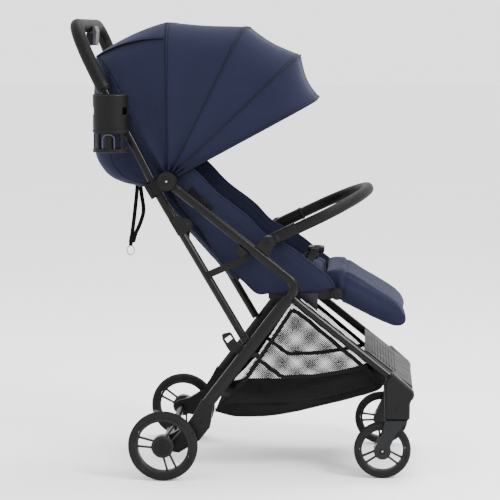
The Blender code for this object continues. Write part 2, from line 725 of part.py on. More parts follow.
def canopy_fabric(parent):
    """A shell over the bows, open at the front and below."""
    shape = bmesh.new()
    rows = []
    angles = [CANOPY_REAR[0], 107.0, 91.0, 77.5, 64.0, 54.0, 44.0, 36.0, 28.5]
    for angle in angles:
        half = hoop(CANOPY_Y, canopy_reach(angle), CANOPY_FOOT)
        full = [(-y, r) for y, r in half] + [(y, r) for y, r in reversed(half[:-1])]
        row = []
        for y, r in full:
            # the rear edge's sides lean forward, clear of the grip
            lean = REAR_LEAN * (y / CANOPY_Y) ** 2 if angle == CANOPY_REAR[0] else 0.0
            x, z = along(HUB, radians(angle - lean), r)
            row.append(shape.verts.new((x, y, z)))
        rows.append(row)
    for first, last in zip(rows, rows[1:]):
        for i in range(len(first) - 1):
            shape.faces.new((first[i], first[i + 1], last[i + 1], last[i]))
    bmesh.ops.recalc_face_normals(shape, faces=shape.faces)
    mesh = bpy.data.meshes.new("canopy")
    shape.to_mesh(mesh)
    shape.free()
    obj = new_object(mesh)
    shell = obj.modifiers.new("thickness", "SOLIDIFY")
    shell.thickness = FABRIC_THICKNESS
    outward = sum(p.normal.dot(p.center - Vector((HUB[0], 0, HUB[1]))) for p in mesh.polygons)
    shell.offset = -1.0 if outward > 0 else 1.0
    place(obj, "canopy_fabric", navy_fabric(), parent)


def bow(index, parent):
    """A flat plastic hoop, in the plane through the hub's axis at the bow's angle."""
    angle, reach = BOWS[index]
    half_width = CANOPY_Y - 0.0051 - index * BOW_STEP
    outer = hoop(half_width, reach - 0.0055, -0.008)
    inner = [(y - BOW_THICKNESS, r) for y, r in outer[:2]]
    for before, here, after in zip(outer[1:], outer[2:], outer[3:]):
        run = Vector((after[0] - before[0], after[1] - before[1])).normalized()
        inner.append((here[0] + run.y * -BOW_THICKNESS, here[1] + run.x * BOW_THICKNESS))
    inner.append((0.0, outer[-1][1] - BOW_THICKNESS))
    loop = (
        [(-y, r) for y, r in outer] + [(y, r) for y, r in reversed(outer[:-1])]
        + [(y, r) for y, r in inner] + [(-y, r) for y, r in reversed(inner[:-1])]
    )
    curve = bpy.data.curves.new("bow", "CURVE")
    curve.dimensions = "2D"
    curve.fill_mode = "BOTH"
    curve.extrude = BOW_WIDTH / 2
    spline = curve.splines.new("POLY")
    spline.points.add(len(loop) - 1)
    for knot, (y, r) in zip(spline.points, loop):
        knot.co = (y, r, 0.0, 1.0)
    spline.use_cyclic_u = True
    obj = new_object(curve)
    out = Vector((cos(radians(angle)), 0, sin(radians(angle))))
    side = Vector((0, 1, 0))
    frame = Matrix((side, out, side.cross(out))).transposed().to_4x4()
    obj.matrix_world = Matrix.Translation((HUB[0], 0, HUB[1])) @ frame
    bpy.context.view_layer.update()
    made = curve_to_mesh(obj)
    made.data.transform(made.matrix_world)
    made.matrix_world = Matrix.Identity(4)
    place(made, f"canopy_bow_{index + 1}", black_plastic(), parent)


def canopy_rear(parent):
    """The fabric behind the backrest, a sheet that hangs and turns in under it."""
    centre = [
        (-0.4000, 0.8930), (-0.4035, 0.8300), (-0.4035, 0.7500), (-0.4000, 0.7050),
        (-0.3890, 0.6790), (-0.3700, 0.6560), (-0.3420, 0.6420), (-0.3000, 0.6345),
    ]
    rim = [(x + 0.0018, z + 0.0024) for x, z in centre]
    place(plate(centre + list(reversed(rim)), -FABRIC_Y, FABRIC_Y), "canopy_rear", navy_fabric(), parent)


def seat(parent):
    # the front face leans back, clear of the leg rest when that is raised
    base = plate([(-0.0350, 0.4123), (0.1120, 0.4123), (0.0965, 0.4460), (-0.0350, 0.4460)], -0.1480, 0.1480)
    place(soften(base, 0.010, 2), "seat_base", navy_fabric(), parent)
    outline = [
        (-0.1950, 0.6700), (-0.1769, 0.6749), (-0.1246, 0.6230), (-0.0621, 0.5754), (-0.0204, 0.5336),
        (0.0398, 0.5024), (0.0868, 0.4661), (0.1130, 0.4350), (0.1180, 0.4200), (0.0600, 0.4084),
        (-0.0089, 0.4020), (-0.0391, 0.4020), (-0.0707, 0.4304), (-0.1166, 0.4679), (-0.1574, 0.5368),
        (-0.1793, 0.5619), (-0.2150, 0.6200),
    ]
    for side, sign in SIDES:
        place(plate(outline, sign * (FABRIC_Y - 0.0020), sign * (FABRIC_Y + 0.0010)), f"seat_side_{side}",
              navy_fabric(), parent)
    pad = plate([(0.0560, 0.4465), (0.0800, 0.4465), (0.0720, 0.4940), (0.0500, 0.4940)], -0.022, 0.022)
    buckle = box((0.0440, -0.026, 0.4930), (0.0760, 0.026, 0.5060))
    place(soften(fuse(pad, buckle), 0.002), "harness_buckle", black_plastic(), parent)


def backrest(parent):
    direction = radians(132)
    outline = [along(SEAT_HINGE, direction, reach, across)
               for reach, across in ((0.026, -0.012), (0.470, -0.012), (0.470, 0.012), (0.026, 0.012))]
    place(soften(plate(outline, -PAD_Y, PAD_Y), 0.008, 2), "backrest", navy_fabric(), parent)


def recline_strap(parent):
    top, bottom = (-0.3170, 0.6320), (-0.3340, 0.4895)
    direction = heading(top, bottom)
    outline = [along(top, direction, reach, across)
               for reach, across in ((0, -0.0011), (0.1435, -0.0011), (0.1435, 0.0011), (0, 0.0011))]
    place(plate(outline, -0.0060, 0.0060), "recline_strap", black_fabric(), parent)
    turns = [2 * pi * i / 12 for i in range(12)]
    ring = tube([(-0.3350 + 0.0080 * cos(turn), 0.0, 0.4775 + 0.0100 * sin(turn)) for turn in turns],
                0.0009, closed=True)
    place(ring, "recline_ring", steel(), parent)


def leg_rest(parent):
    outline = [
        (0.1240, 0.4540), (0.1420, 0.4520), (0.1580, 0.4425), (0.2535, 0.3845), (0.2770, 0.3670),
        (0.2905, 0.3450), (0.2900, 0.3340), (0.2757, 0.3265), (0.2195, 0.3500), (0.1594, 0.3810),
        (0.1300, 0.3930), (0.1230, 0.4200),
    ]
    place(soften(plate(outline, -PAD_Y, PAD_Y), 0.006), "leg_rest", navy_fabric(), parent)


def basket(parent):
    """A cloth tray slung between the legs, open above and behind."""
    low = [(-0.1290, 0.1365), (-0.0802, 0.1237), (0.0108, 0.1294), (0.1230, 0.1571), (0.2230, 0.1855)]
    outline = low + [(0.2400, 0.2020), (0.0573, 0.3571), (0.0391, 0.3667), (-0.0614, 0.2107)]
    body = plate(outline, -FABRIC_Y, FABRIC_Y)
    inside = [(-0.1800, 0.1400)] + [(x, z + 0.0030) for x, z in low[:-1]]
    inside += [(0.2180, 0.1872), (0.2600, 0.2250), (0.0600, 0.4200), (0.0000, 0.4200)]
    inner = plate(inside, -FABRIC_Y + 0.0025, FABRIC_Y - 0.0025)
    place(cut(body, inner), "basket", black_fabric(), parent)


# ---- assembly ------------------------------------------------------------------------------
def build():
    clear_scene()
    origin = add_empty("design_origin", (0, 0, 0))
    origin.location = (-(X_REAR + X_FRONT) / 2, -(Y_RIGHT + Y_LEFT) / 2, 0)

    side_tubes(origin)
    hub_housings(origin)
    lower_struts(origin)
    brace_links(origin)
    rear_brackets(origin)
    rear_axle(origin)
    latch_hook(origin)
    seat_rails(origin)
    bumper_clips(origin)
    seat(origin)
    basket(origin)
    canopy_fabric(origin)
    canopy_rear(origin)

    brake(add_empty("brake_axis", (REAR_AXLE[0], 0, REAR_AXLE[1]), origin))

    push_axis = add_empty("handle_axis", (KNUCKLE[0], 0, KNUCKLE[1]), origin)
    push_tubes(push_axis)
    knuckles(push_axis)
    handle(push_axis)
    lever_axis = add_empty("lever_axis", (HANDLE_TOP[0], 0, HANDLE_TOP[1]), push_axis)
    fold_release(push_axis, lever_axis)
    cup_holder(push_axis)

    leg_axis = add_empty("leg_axis", (LEG_PIVOT[0], 0, LEG_PIVOT[1]), origin)
    front_legs(leg_axis)
    foot_plate(leg_axis)
    swivels = {}
    for side, sign in SIDES:
        swivel = add_empty(f"swivel_axis_{side}", (SWIVEL_X, sign * FRONT_WHEEL_Y, 0.130), leg_axis)
        swivels[side] = swivel
        centre = (FRONT_AXLE[0], sign * FRONT_WHEEL_Y, FRONT_AXLE[1])
        axle = add_empty(f"front_axle_{side}", centre, swivel)
        wheel(("front", side), centre, FRONT_WHEEL_RADIUS, 88.5 if side == "right" else 58.0, axle)
        centre = (REAR_AXLE[0], sign * REAR_WHEEL_Y, REAR_AXLE[1])
        axle = add_empty(f"rear_axle_{side}", centre, origin)
        wheel(("rear", side), centre, REAR_WHEEL_RADIUS, 50.5 if side == "right" else 28.0, axle)
    forks(swivels)

    bumper(add_empty("bumper_axis", (BUMPER_PIVOT[0], 0, BUMPER_PIVOT[1]), origin))

    bow_axis = origin
    for index in range(len(BOWS)):
        bow_axis = add_empty(f"bow_axis_{index + 1}", (HUB[0], 0, HUB[1]), bow_axis)
        bow(index, bow_axis)

    back_axis = add_empty("backrest_axis", (SEAT_HINGE[0], 0, SEAT_HINGE[1]), origin)
    backrest(back_axis)
    recline_strap(origin)
    leg_rest(add_empty("leg_rest_axis", (LEG_REST_HINGE[0], 0, LEG_REST_HINGE[1]), origin))


build()
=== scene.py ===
"""Looks of the folding baby stroller: fabric, foam, plastic and metal around the CAD frame.

Points are given in the design frame of the CAD model (X forward, Y = 0 is the middle plane,
Z up, X = 0 between the axles) and moved into the row frame by at(). Lengths are in metres.
"""

from math import atan2, cos, degrees, exp, hypot, pi, radians, sin

import bmesh
import bpy
import numpy as np
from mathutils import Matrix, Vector, noise


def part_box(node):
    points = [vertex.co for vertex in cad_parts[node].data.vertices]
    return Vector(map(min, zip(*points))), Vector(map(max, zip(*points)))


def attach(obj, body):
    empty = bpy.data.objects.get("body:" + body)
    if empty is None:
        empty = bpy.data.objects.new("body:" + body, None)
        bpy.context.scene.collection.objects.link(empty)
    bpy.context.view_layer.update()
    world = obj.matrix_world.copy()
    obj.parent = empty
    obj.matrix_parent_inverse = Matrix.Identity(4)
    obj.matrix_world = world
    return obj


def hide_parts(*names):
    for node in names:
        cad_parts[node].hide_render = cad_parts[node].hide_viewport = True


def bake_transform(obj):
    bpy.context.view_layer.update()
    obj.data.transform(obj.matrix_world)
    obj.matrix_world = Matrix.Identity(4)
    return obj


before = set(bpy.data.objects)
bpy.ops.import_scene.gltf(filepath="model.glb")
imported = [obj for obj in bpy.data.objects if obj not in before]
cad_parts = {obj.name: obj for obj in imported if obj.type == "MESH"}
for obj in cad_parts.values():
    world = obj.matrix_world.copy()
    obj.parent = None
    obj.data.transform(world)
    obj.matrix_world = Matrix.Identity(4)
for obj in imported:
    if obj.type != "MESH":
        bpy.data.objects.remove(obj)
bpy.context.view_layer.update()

# ---- where the design frame lies in the row frame ------------------------------------------
REAR_AXLE = Vector((-0.2385, 0.0, 0.076))
axle_low, axle_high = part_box("rear_axle")
ORIGIN = (axle_low + axle_high) / 2 - REAR_AXLE

HUB = (-0.229, 0.652)
KNUCKLE = (-0.190, 0.556)
PUSH_LINE = (-0.2054, 0.5470)
PUSH_BEND = (-0.2471, 0.6178)
PUSH_TOP = (-0.3662, 0.8444)
STRUT_FOOT = (-0.0600, 0.3002)
HANDLE_BEND = (-0.4014, 0.9174)
HANDLE_TOP = (-0.4300, 0.9850)
ELBOW = (0.054, 0.4267)
REAR_LEG_TOP = (0.0336, 0.3996)
REAR_LEG_FOOT = (-0.1430, 0.1658)
LEG_PIVOT = (0.045, 0.3902)
LEG_REST_HINGE = (0.137, 0.4025)
SEAT_HINGE = (-0.055, 0.405)
BUMPER_PIVOT = (-0.010, 0.520)
BUMPER_ANGLE = radians(25.5)
BUMPER_REACH = 0.236
FRONT_AXLE = (0.2385, 0.0622)

SIDE_Y = 0.204
PUSH_Y = 0.181
FABRIC_Y = 0.1505
CANOPY_Y = 0.169
PAD_Y = 0.137
BUMPER_Y = 0.181
REAR_WHEEL_Y = 0.2275
FRONT_WHEEL_Y = 0.173
GRIP_RADIUS = 0.0148

BOWS = ((91.0, 0.339), (64.0, 0.367), (44.0, 0.384), (28.5, 0.362))
CANOPY_REAR = (123.8, 0.313)
REAR_LEAN = 5.0
CANOPY_FOOT = 0.0205
SIDES = (("right", -1), ("left", 1))


def at(x, y, z):
    return Vector((x, y, z)) + ORIGIN


# ---- camera, floor and light ---------------------------------------------------------------
scene = bpy.context.scene
camera_data = bpy.data.cameras.new("camera")
camera_data.lens = 134.6
camera_data.sensor_width = 36.0
camera = bpy.data.objects.new("camera", camera_data)
camera.location = at(0.205, -4.2, 0.970)
camera.rotation_euler = (radians(83.36), 0.0, radians(3.65))
scene.collection.objects.link(camera)
scene.camera = camera


class Paint:
    """A material's nodes, added one after another."""

    def __init__(self, name):
        self.material = bpy.data.materials.new(name)
        self.material.use_nodes = True
        self.tree = self.material.node_tree
        self.shader = self.tree.nodes["Principled BSDF"]
        where = self.node("TexCoord")
        self.place, self.facing = where.outputs["Object"], where.outputs["Normal"]

    def node(self, kind, inputs=None, **settings):
        made = self.tree.nodes.new("ShaderNode" + kind)
        for key, value in settings.items():
            setattr(made, key, value)
        for key, value in (inputs or {}).items():
            self.put(made.inputs[key], value)
        return made

    def put(self, socket, value):
        if isinstance(value, bpy.types.NodeSocket):
            self.tree.links.new(value, socket)
        else:
            socket.default_value = value

    def set(self, **values):
        for key, value in values.items():
            self.put(self.shader.inputs[key.replace("_", " ")], value)

    def stretched(self, stretch):
        return self.node("Mapping", {"Vector": self.place, "Scale": stretch}).outputs["Vector"]

    def noise(self, scale, detail=2.0, stretch=None, rough=0.5):
        where = self.stretched(stretch) if stretch else self.place
        return self.node("TexNoise", {"Vector": where, "Scale": scale, "Detail": detail,
                                      "Roughness": rough}).outputs["Fac"]

    def maths(self, operation, first, second=0.0, clamp=False):
        made = self.node("Math", operation=operation, use_clamp=clamp)
        self.put(made.inputs[0], first)
        self.put(made.inputs[1], second)
        return made.outputs[0]

    def span(self, value, low, high, new_low=0.0, new_high=1.0):
        made = self.node("MapRange", {"Value": value, "From Min": low, "From Max": high,
                                      "To Min": new_low, "To Max": new_high})
        return made.outputs[0]

    def mix(self, factor, first, second):
        made = self.node("Mix", data_type="RGBA")
        self.put(made.inputs[0], factor)
        self.put(made.inputs[6], first)
        self.put(made.inputs[7], second)
        return made.outputs[2]

    def bump(self, height, distance, strength=1.0, under=None):
        inputs = {"Height": height, "Distance": distance, "Strength": strength}
        if under is not None:
            inputs["Normal"] = under
        return self.node("Bump", inputs).outputs["Normal"]

    def bands(self, direction, period):
        """Stripes across one axis; the texture has one stripe each pi/10 at scale 1."""
        return self.node("TexWave", {"Vector": self.place, "Scale": pi / (10.0 * period)},
                         bands_direction=direction, wave_profile="SIN").outputs["Fac"]

    def crossed(self, period):
        """Crossed threads: each pair of stripes shows on the faces that it suits."""
        x, y, z = (self.bands(axis, period) for axis in "XYZ")
        part = self.node("SeparateXYZ", {"Vector": self.facing}).outputs
        total = 0.0
        for share, first, second in ((part[0], y, z), (part[1], x, z), (part[2], x, y)):
            weight = self.maths("POWER", self.maths("ABSOLUTE", share), 3.0)
            pair = self.maths("MULTIPLY", self.maths("MULTIPLY", first, second), weight)
            total = self.maths("ADD", pair, total)
        return total


DEPTH = 0.80  # paints are this much deeper than their display values, for the bright studio


def rgb(red, green, blue):
    """A colour from 0-255 display values."""
    def linear(value):
        value /= 255.0
        return value / 12.92 if value <= 0.04045 else ((value + 0.055) / 1.055) ** 2.4
    return (DEPTH * linear(red), DEPTH * linear(green), DEPTH * linear(blue), 1.0)


def shade(colour, factor):
    return (*(channel * factor for channel in colour[:3]), 1.0)


def woven(name, colour, period, sheen, melange=0.10, crease=0.0006):
    """Woven cloth: crossed threads with painted shade in their valleys, faint uneven dye, soft creases."""
    paint = Paint(name)
    threads = paint.crossed(period)
    dye = paint.span(paint.noise(7.0, 3.0), 0.3, 0.7)
    base = paint.mix(dye, shade(colour, 0.90), shade(colour, 1.10))
    fleck = paint.span(paint.noise(0.9 / period, 2.0), 0.35, 0.65)
    base = paint.mix(fleck, shade(colour, 1.0 - melange), base)
    # painted shade: the valleys between the threads are darkened in the base colour
    painted_valley_shade = paint.span(threads, 0.0, 0.5, 0.45, 1.0)
    base = paint.mix(painted_valley_shade, shade(colour, 0.50), base)
    soft = paint.bump(paint.noise(22.0, 3.0), crease, 0.6)
    paint.set(Base_Color=base, Roughness=paint.span(threads, 0.0, 0.6, 0.93, 0.80),
              Normal=paint.bump(threads, period * 0.30, 0.55, soft),
              Sheen_Weight=sheen, Sheen_Roughness=0.45, Specular_IOR_Level=0.10)
    paint.shader.inputs["Sheen Tint"].default_value = (0.62, 0.66, 0.9, 1.0)
    return paint.material


def ribbed(name, colour, period):
    """Webbing and binding tape: fine ribs across X and Z."""
    paint = Paint(name)
    ribs = paint.maths("ADD", paint.bands("X", period), paint.bands("Z", period * 0.83))
    fleck = paint.span(paint.noise(900.0, 2.0), 0.35, 0.65)
    base = paint.mix(fleck, shade(colour, 0.78), shade(colour, 1.12))
    paint.set(Base_Color=base, Roughness=0.82, Normal=paint.bump(ribs, 0.0003, 0.5),
              Sheen_Weight=0.03, Sheen_Roughness=0.5, Specular_IOR_Level=0.10)
    return paint.material


def moulded(name, colour, grain, rough, wear=0.35):
    """Moulded plastic: fine spark-eroded grain, rubbed paler along its edges."""
    paint = Paint(name)
    fine = paint.noise(grain, 3.0, rough=0.6)
    broad = paint.span(paint.noise(16.0, 3.0), 0.3, 0.7)
    base = paint.mix(broad, shade(colour, 0.88), shade(colour, 1.12))
    edge = paint.span(paint.node("NewGeometry").outputs["Pointiness"], 0.505, 0.56)
    rubbed = paint.maths("MULTIPLY", edge, paint.span(paint.noise(55.0, 4.0), 0.35, 0.65, 0.2, wear))
    base = paint.mix(rubbed, base, shade(colour, 2.6))
    gloss = paint.maths("ADD", paint.span(paint.noise(38.0, 4.0), 0.3, 0.7, -0.06, 0.06), rough)
    paint.set(Base_Color=base, Roughness=gloss, Normal=paint.bump(fine, 0.00022, 0.5),
              Specular_IOR_Level=0.11)
    return paint.material


def powder_coat(name, colour):
    """Satin powder coat over tube: orange peel, faint scuffs."""
    paint = Paint(name)
    peel = paint.noise(420.0, 2.0)
    broad = paint.span(paint.noise(9.0, 3.0), 0.3, 0.7)
    base = paint.mix(broad, shade(colour, 0.86), shade(colour, 1.14))
    sparkle = paint.span(paint.noise(2600.0, 1.0), 0.62, 0.74)
    base = paint.mix(paint.maths("MULTIPLY", sparkle, 0.5), base, shade(colour, 3.0))
    scuff = paint.span(paint.noise(30.0, 5.0, (1.0, 1.0, 0.25)), 0.62, 0.74, 0.0, 0.12)
    paint.set(Base_Color=base, Metallic=0.0, Roughness=paint.maths("ADD", scuff, 0.30),
              Normal=paint.bump(peel, 0.00025, 0.45), Specular_IOR_Level=0.13, Coat_Weight=0.02,
              Coat_Roughness=0.2)
    return paint.material


def leatherette(name, colour):
    """Pebbled synthetic leather over foam, with painted shade in the pebbles' hollows."""
    paint = Paint(name)
    pebble = paint.node("TexVoronoi", {"Vector": paint.place, "Scale": 520.0}, feature="SMOOTH_F1")
    height = paint.span(pebble.outputs["Distance"], 0.0, 0.7, 1.0, 0.0)
    crease = paint.noise(95.0, 3.0)
    broad = paint.span(paint.noise(12.0, 3.0), 0.3, 0.7)
    base = paint.mix(broad, shade(colour, 0.85), shade(colour, 1.15))
    # painted shade: the pebbles' hollows are darkened in the base colour
    base = paint.mix(paint.span(height, 0.1, 0.9), shade(colour, 0.55), base)
    paint.set(Base_Color=base, Roughness=paint.span(height, 0.0, 1.0, 0.66, 0.50),
              Normal=paint.bump(height, 0.00045, 0.7, paint.bump(crease, 0.0008, 0.35)),
              Specular_IOR_Level=0.13)
    return paint.material


def foam_tyre(name, colour):
    """Solid foam tyre: fine pores, dust on the running surface."""
    paint = Paint(name)
    pores = paint.noise(1300.0, 3.0, rough=0.65)
    dust = paint.span(paint.noise(24.0, 5.0, rough=0.6), 0.50, 0.80, 0.0, 0.30)
    base = paint.mix(dust, colour, rgb(52, 51, 49))
    paint.set(Base_Color=base, Roughness=paint.span(pores, 0.3, 0.7, 0.72, 0.88),
              Normal=paint.bump(pores, 0.0003, 0.5), Specular_IOR_Level=0.18)
    return paint.material


def plated(name):
    """Zinc plated steel, faintly brushed."""
    paint = Paint(name)
    brushed = paint.noise(500.0, 3.0, (1.0, 1.0, 9.0))
    cloud = paint.span(paint.noise(60.0, 3.0), 0.3, 0.7)
    paint.set(Base_Color=paint.mix(cloud, (0.24, 0.24, 0.25, 1.0), (0.32, 0.32, 0.33, 1.0)), Metallic=1.0,
              Roughness=paint.span(brushed, 0.3, 0.7, 0.24, 0.38), Normal=paint.bump(brushed, 0.0001, 0.3))
    return paint.material


def floor_paint():
    paint = Paint("floor")
    tone = paint.span(paint.noise(1.5, 2.0), 0.3, 0.7)
    paint.set(Base_Color=paint.mix(tone, (0.93, 0.93, 0.93, 1.0), (0.95, 0.95, 0.95, 1.0)), Roughness=0.9,
              Specular_IOR_Level=0.1)
    return paint.material


NAVY = rgb(30, 32, 53)
navy = woven("navy_weave", NAVY, 0.0011, 0.07)
navy_dark = woven("navy_lining", rgb(22, 24, 40), 0.0011, 0.05)
lining = woven("grey_lining", rgb(42, 41, 47), 0.0012, 0.06)
navy_tape = ribbed("navy_tape", rgb(21, 23, 39), 0.0012)
navy_thread = ribbed("navy_thread", rgb(42, 45, 69), 0.0008)
black_cloth = woven("black_weave", rgb(19, 19, 20), 0.0013, 0.03, crease=0.0012)
black_tape = ribbed("black_tape", rgb(14, 14, 15), 0.0013)
mesh_yarn = ribbed("mesh_yarn", rgb(15, 15, 16), 0.0009)
tube_black = powder_coat("tube_powder_coat", rgb(11, 11, 11))
plastic_black = moulded("grained_black", rgb(13, 13, 13), 1500.0, 0.46)
plastic_slate = moulded("grained_slate", rgb(22, 23, 25), 1500.0, 0.50)
plastic_grey = moulded("grained_grey", rgb(92, 94, 97), 1300.0, 0.45)
plastic_lever = moulded("grained_lever", rgb(52, 54, 59), 1300.0, 0.45)
rim_plastic = moulded("satin_rim", rgb(23, 23, 24), 1900.0, 0.38)
grip = leatherette("pebbled_grip", rgb(13, 13, 13))
tyre = foam_tyre("foam_tyre", rgb(17, 17, 18))
steel = plated("plated_steel")
stitch_thread = ribbed("stitch_thread", rgb(62, 62, 62), 0.0006)

# the record's slot for each finish, where a piece doesn't name another; finish_piece looks it up but gives it
# to no piece
SLOTS = {
    "fabric_navy": (navy, navy_dark, navy_tape, navy_thread), "fabric_black": (black_tape,),
    "grip_foam": (grip, stitch_thread), "plastic_black": (plastic_black,),
    "plastic_slate": (plastic_slate, plastic_lever, plastic_grey), "tube_black": (tube_black,),
    "tyre": (tyre,), "rim_plastic": (rim_plastic,), "steel": (steel,),
}
SLOT_OF = {finish.name: slot for slot, finishes in SLOTS.items() for finish in finishes}


# ---- mesh helpers --------------------------------------------------------------------------
def new_piece(name, verts, faces, finish, body=None, slot=None, smooth=True):
    data = bpy.data.meshes.new(name)
    data.from_pydata([tuple(v) for v in verts], [], faces)
    return finish_piece(name, data, finish, body, slot, smooth)


def finish_piece(name, data, finish, body=None, slot=None, smooth=True):
    shape = bmesh.new()
    shape.from_mesh(data)
    bmesh.ops.recalc_face_normals(shape, faces=shape.faces)
    shape.to_mesh(data)
    shape.free()
    data.materials.append(finish)
    obj = bpy.data.objects.new(name, data)
    scene.collection.objects.link(obj)
    if smooth:
        data.shade_smooth()
        data.set_sharp_from_angle(angle=radians(38))
    if body:
        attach(obj, body)
        slot or SLOT_OF[finish.name]
    return obj


def grid_faces(rows, across, closed_rows=False, closed_across=False, first=0):
    faces = []
    for i in range(rows if closed_rows else rows - 1):
        for j in range(across if closed_across else across - 1):
            a, b = i % rows, (i + 1) % rows
            c, d = j % across, (j + 1) % across
            faces.append((first + a * across + c, first + a * across + d,
                          first + b * across + d, first + b * across + c))
    return faces


def sheet_mesh(rows):
    """Vertices and faces of a grid of points."""
    verts = [point for row in rows for point in row]
    return verts, grid_faces(len(rows), len(rows[0]))


def oval(a, b, count=24, power=2.0):
    """Cross-section as (across, up) offsets; a power above 2 squares it."""
    points = []
    for i in range(count):
        turn = 2 * pi * i / count
        c, s = cos(turn), sin(turn)
        points.append((a * abs(c) ** (2 / power) * (1 if c >= 0 else -1),
                       b * abs(s) ** (2 / power) * (1 if s >= 0 else -1)))
    return points


def sweep_mesh(path, section, side, closed=False, scale=None, first=0, dome=0.0):
    """A section carried along a path. side is the across direction, kept square to the path."""
    path = [Vector(p) for p in path]
    count, verts = len(path), []
    across = Vector(side)
    for i, point in enumerate(path):
        before = path[i - 1] if i or closed else point
        after = path[(i + 1) % count] if i < count - 1 or closed else point
        along = (after - before).normalized()
        across = (across - along * across.dot(along)).normalized()
        up = along.cross(across)
        size = scale(i / (count - 1)) if scale else 1.0
        verts += [point + across * u * size + up * v * size for u, v in section]
    faces = grid_faces(count, len(section), closed, True, first)
    if not closed:
        for end, sign in ((0, -1), (count - 1, 1)):
            ring = [first + end * len(section) + j for j in range(len(section))]
            if dome:
                other = path[1] if end == 0 else path[-2]
                out = (path[end] - other).normalized() * dome
                inner = [path[end] + (verts[r - first] - path[end]) * 0.6 + out * 0.75 for r in ring]
                start = first + len(verts)
                verts += inner
                for j in range(len(ring)):
                    k = (j + 1) % len(ring)
                    faces.append((ring[j], ring[k], start + k, start + j))
                verts.append(path[end] + out)
                tip = first + len(verts) - 1
                faces += [(start + j, start + (j + 1) % len(ring), tip) for j in range(len(ring))]
            else:
                faces.append(tuple(ring if sign > 0 else reversed(ring)))
    return verts, faces


def sweep(name, path, section, finish, body=None, slot=None, side=(0, 1, 0), **options):
    verts, faces = sweep_mesh(path, section, side, **options)
    return new_piece(name, verts, faces, finish, body, slot)


def gathered(name, parts, finish, body=None, slot=None, smooth=True):
    """One piece from several (verts, faces)."""
    verts, faces = [], []
    for part_verts, part_faces in parts:
        base = len(verts)
        verts += part_verts
        faces += [tuple(base + k for k in face) for face in part_faces]
    return new_piece(name, verts, faces, finish, body, slot, smooth)


def lathe_mesh(profile, centre, axis="Y", steps=48, closed=True):
    """A (radius, along) profile turned about an axis through centre."""
    verts = []
    for i in range(steps):
        turn = 2 * pi * i / steps
        c, s = cos(turn), sin(turn)
        for radius, along in profile:
            spot = {"Y": (radius * c, along, radius * s), "Z": (radius * c, radius * s, along),
                    "X": (along, radius * c, radius * s)}[axis]
            verts.append(Vector(spot) + centre)
    return verts, grid_faces(steps, len(profile), True, closed)


def disc_profile(radius, low, high, edge):
    """A capped disc's profile with a rounded rim on the high side, from axis to axis."""
    tiny = 0.0001
    out = 1 if high > low else -1
    return [(tiny, low), (radius, low), (radius, high - out * edge),
            (radius - 0.3 * edge, high - out * 0.3 * edge), (radius - edge, high), (tiny, high)]


def box_mesh(low, high):
    (a, b, c), (d, e, f) = low, high
    verts = [at(x, y, z) for x in (a, d) for y in (b, e) for z in (c, f)]
    return verts, [(0, 1, 3, 2), (4, 6, 7, 5), (0, 4, 5, 1), (2, 3, 7, 6), (0, 2, 6, 4), (1, 5, 7, 3)]


def bevelled(obj, width, segments=2, angle=32):
    change = obj.modifiers.new("edges", "BEVEL")
    change.width = width
    change.segments = segments
    change.limit_method = "ANGLE"
    change.angle_limit = radians(angle)
    change.harden_normals = False
    return obj


def thickened(obj, thickness, offset=-1.0):
    change = obj.modifiers.new("thickness", "SOLIDIFY")
    change.thickness = thickness
    change.offset = offset
    change.use_even_offset = False
    return obj


def subdivided(obj, levels=1):
    change = obj.modifiers.new("smooth", "SUBSURF")
    change.levels = levels
    change.render_levels = levels
    return obj


def surface_area(obj):
    return sum(face.area for face in obj.data.polygons)


def curve_points(points, steps=6):
    """A Catmull-Rom line through points."""
    points = [Vector(p) for p in points]
    ends = [points[0] * 2 - points[1], *points, points[-1] * 2 - points[-2]]
    line = []
    for a, b, c, d in zip(ends, ends[1:], ends[2:], ends[3:]):
        for i in range(steps):
            t = i / steps
            line.append(0.5 * (2 * b + (c - a) * t + (2 * a - 5 * b + 4 * c - d) * t ** 2
                               + (3 * b - a - 3 * c + d) * t ** 3))
    return line + [points[-1]]


def along(start, direction, distance, across=0.0):
    return (start[0] + distance * cos(direction) - across * sin(direction),
            start[1] + distance * sin(direction) + across * cos(direction))


def heading(start, end):
    return atan2(end[1] - start[1], end[0] - start[0])


def rounded(points, radius, steps=8):
    """An open (x, z) line with its corners rounded."""
    line = [points[0]]
    for before, corner, after in zip(points, points[1:], points[2:]):
        corner = Vector(corner)
        into = (Vector(before) - corner).normalized()
        out = (Vector(after) - corner).normalized()
        reach = radius * cos(into.angle(out) / 2) / sin(into.angle(out) / 2)
        start, end = corner + into * reach, corner + out * reach
        for i in range(steps + 1):
            t = i / steps
            line.append(tuple(start * (1 - t) ** 2 + corner * 2 * t * (1 - t) + end * t ** 2))
    return line + [points[-1]]


def smooth_step(value, low=0.0, high=1.0):
    value = min(1.0, max(0.0, (value - low) / (high - low)))
    return value * value * (3 - 2 * value)


def set_blend(obj, first, second, weight):
    """Bakes obj's transform and works out the weight of each point, which nothing uses; first and second are
    not used.
    """
    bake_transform(obj)
    values = np.array([weight(v.co - ORIGIN) for v in obj.data.vertices], np.float32)
    return obj


# ---- canopy --------------------------------------------------------------------------------
HOOP_SIDE, HOOP_SHOULDER, HOOP_CROWN = 10, 12, 7
SHOULDER = 0.075


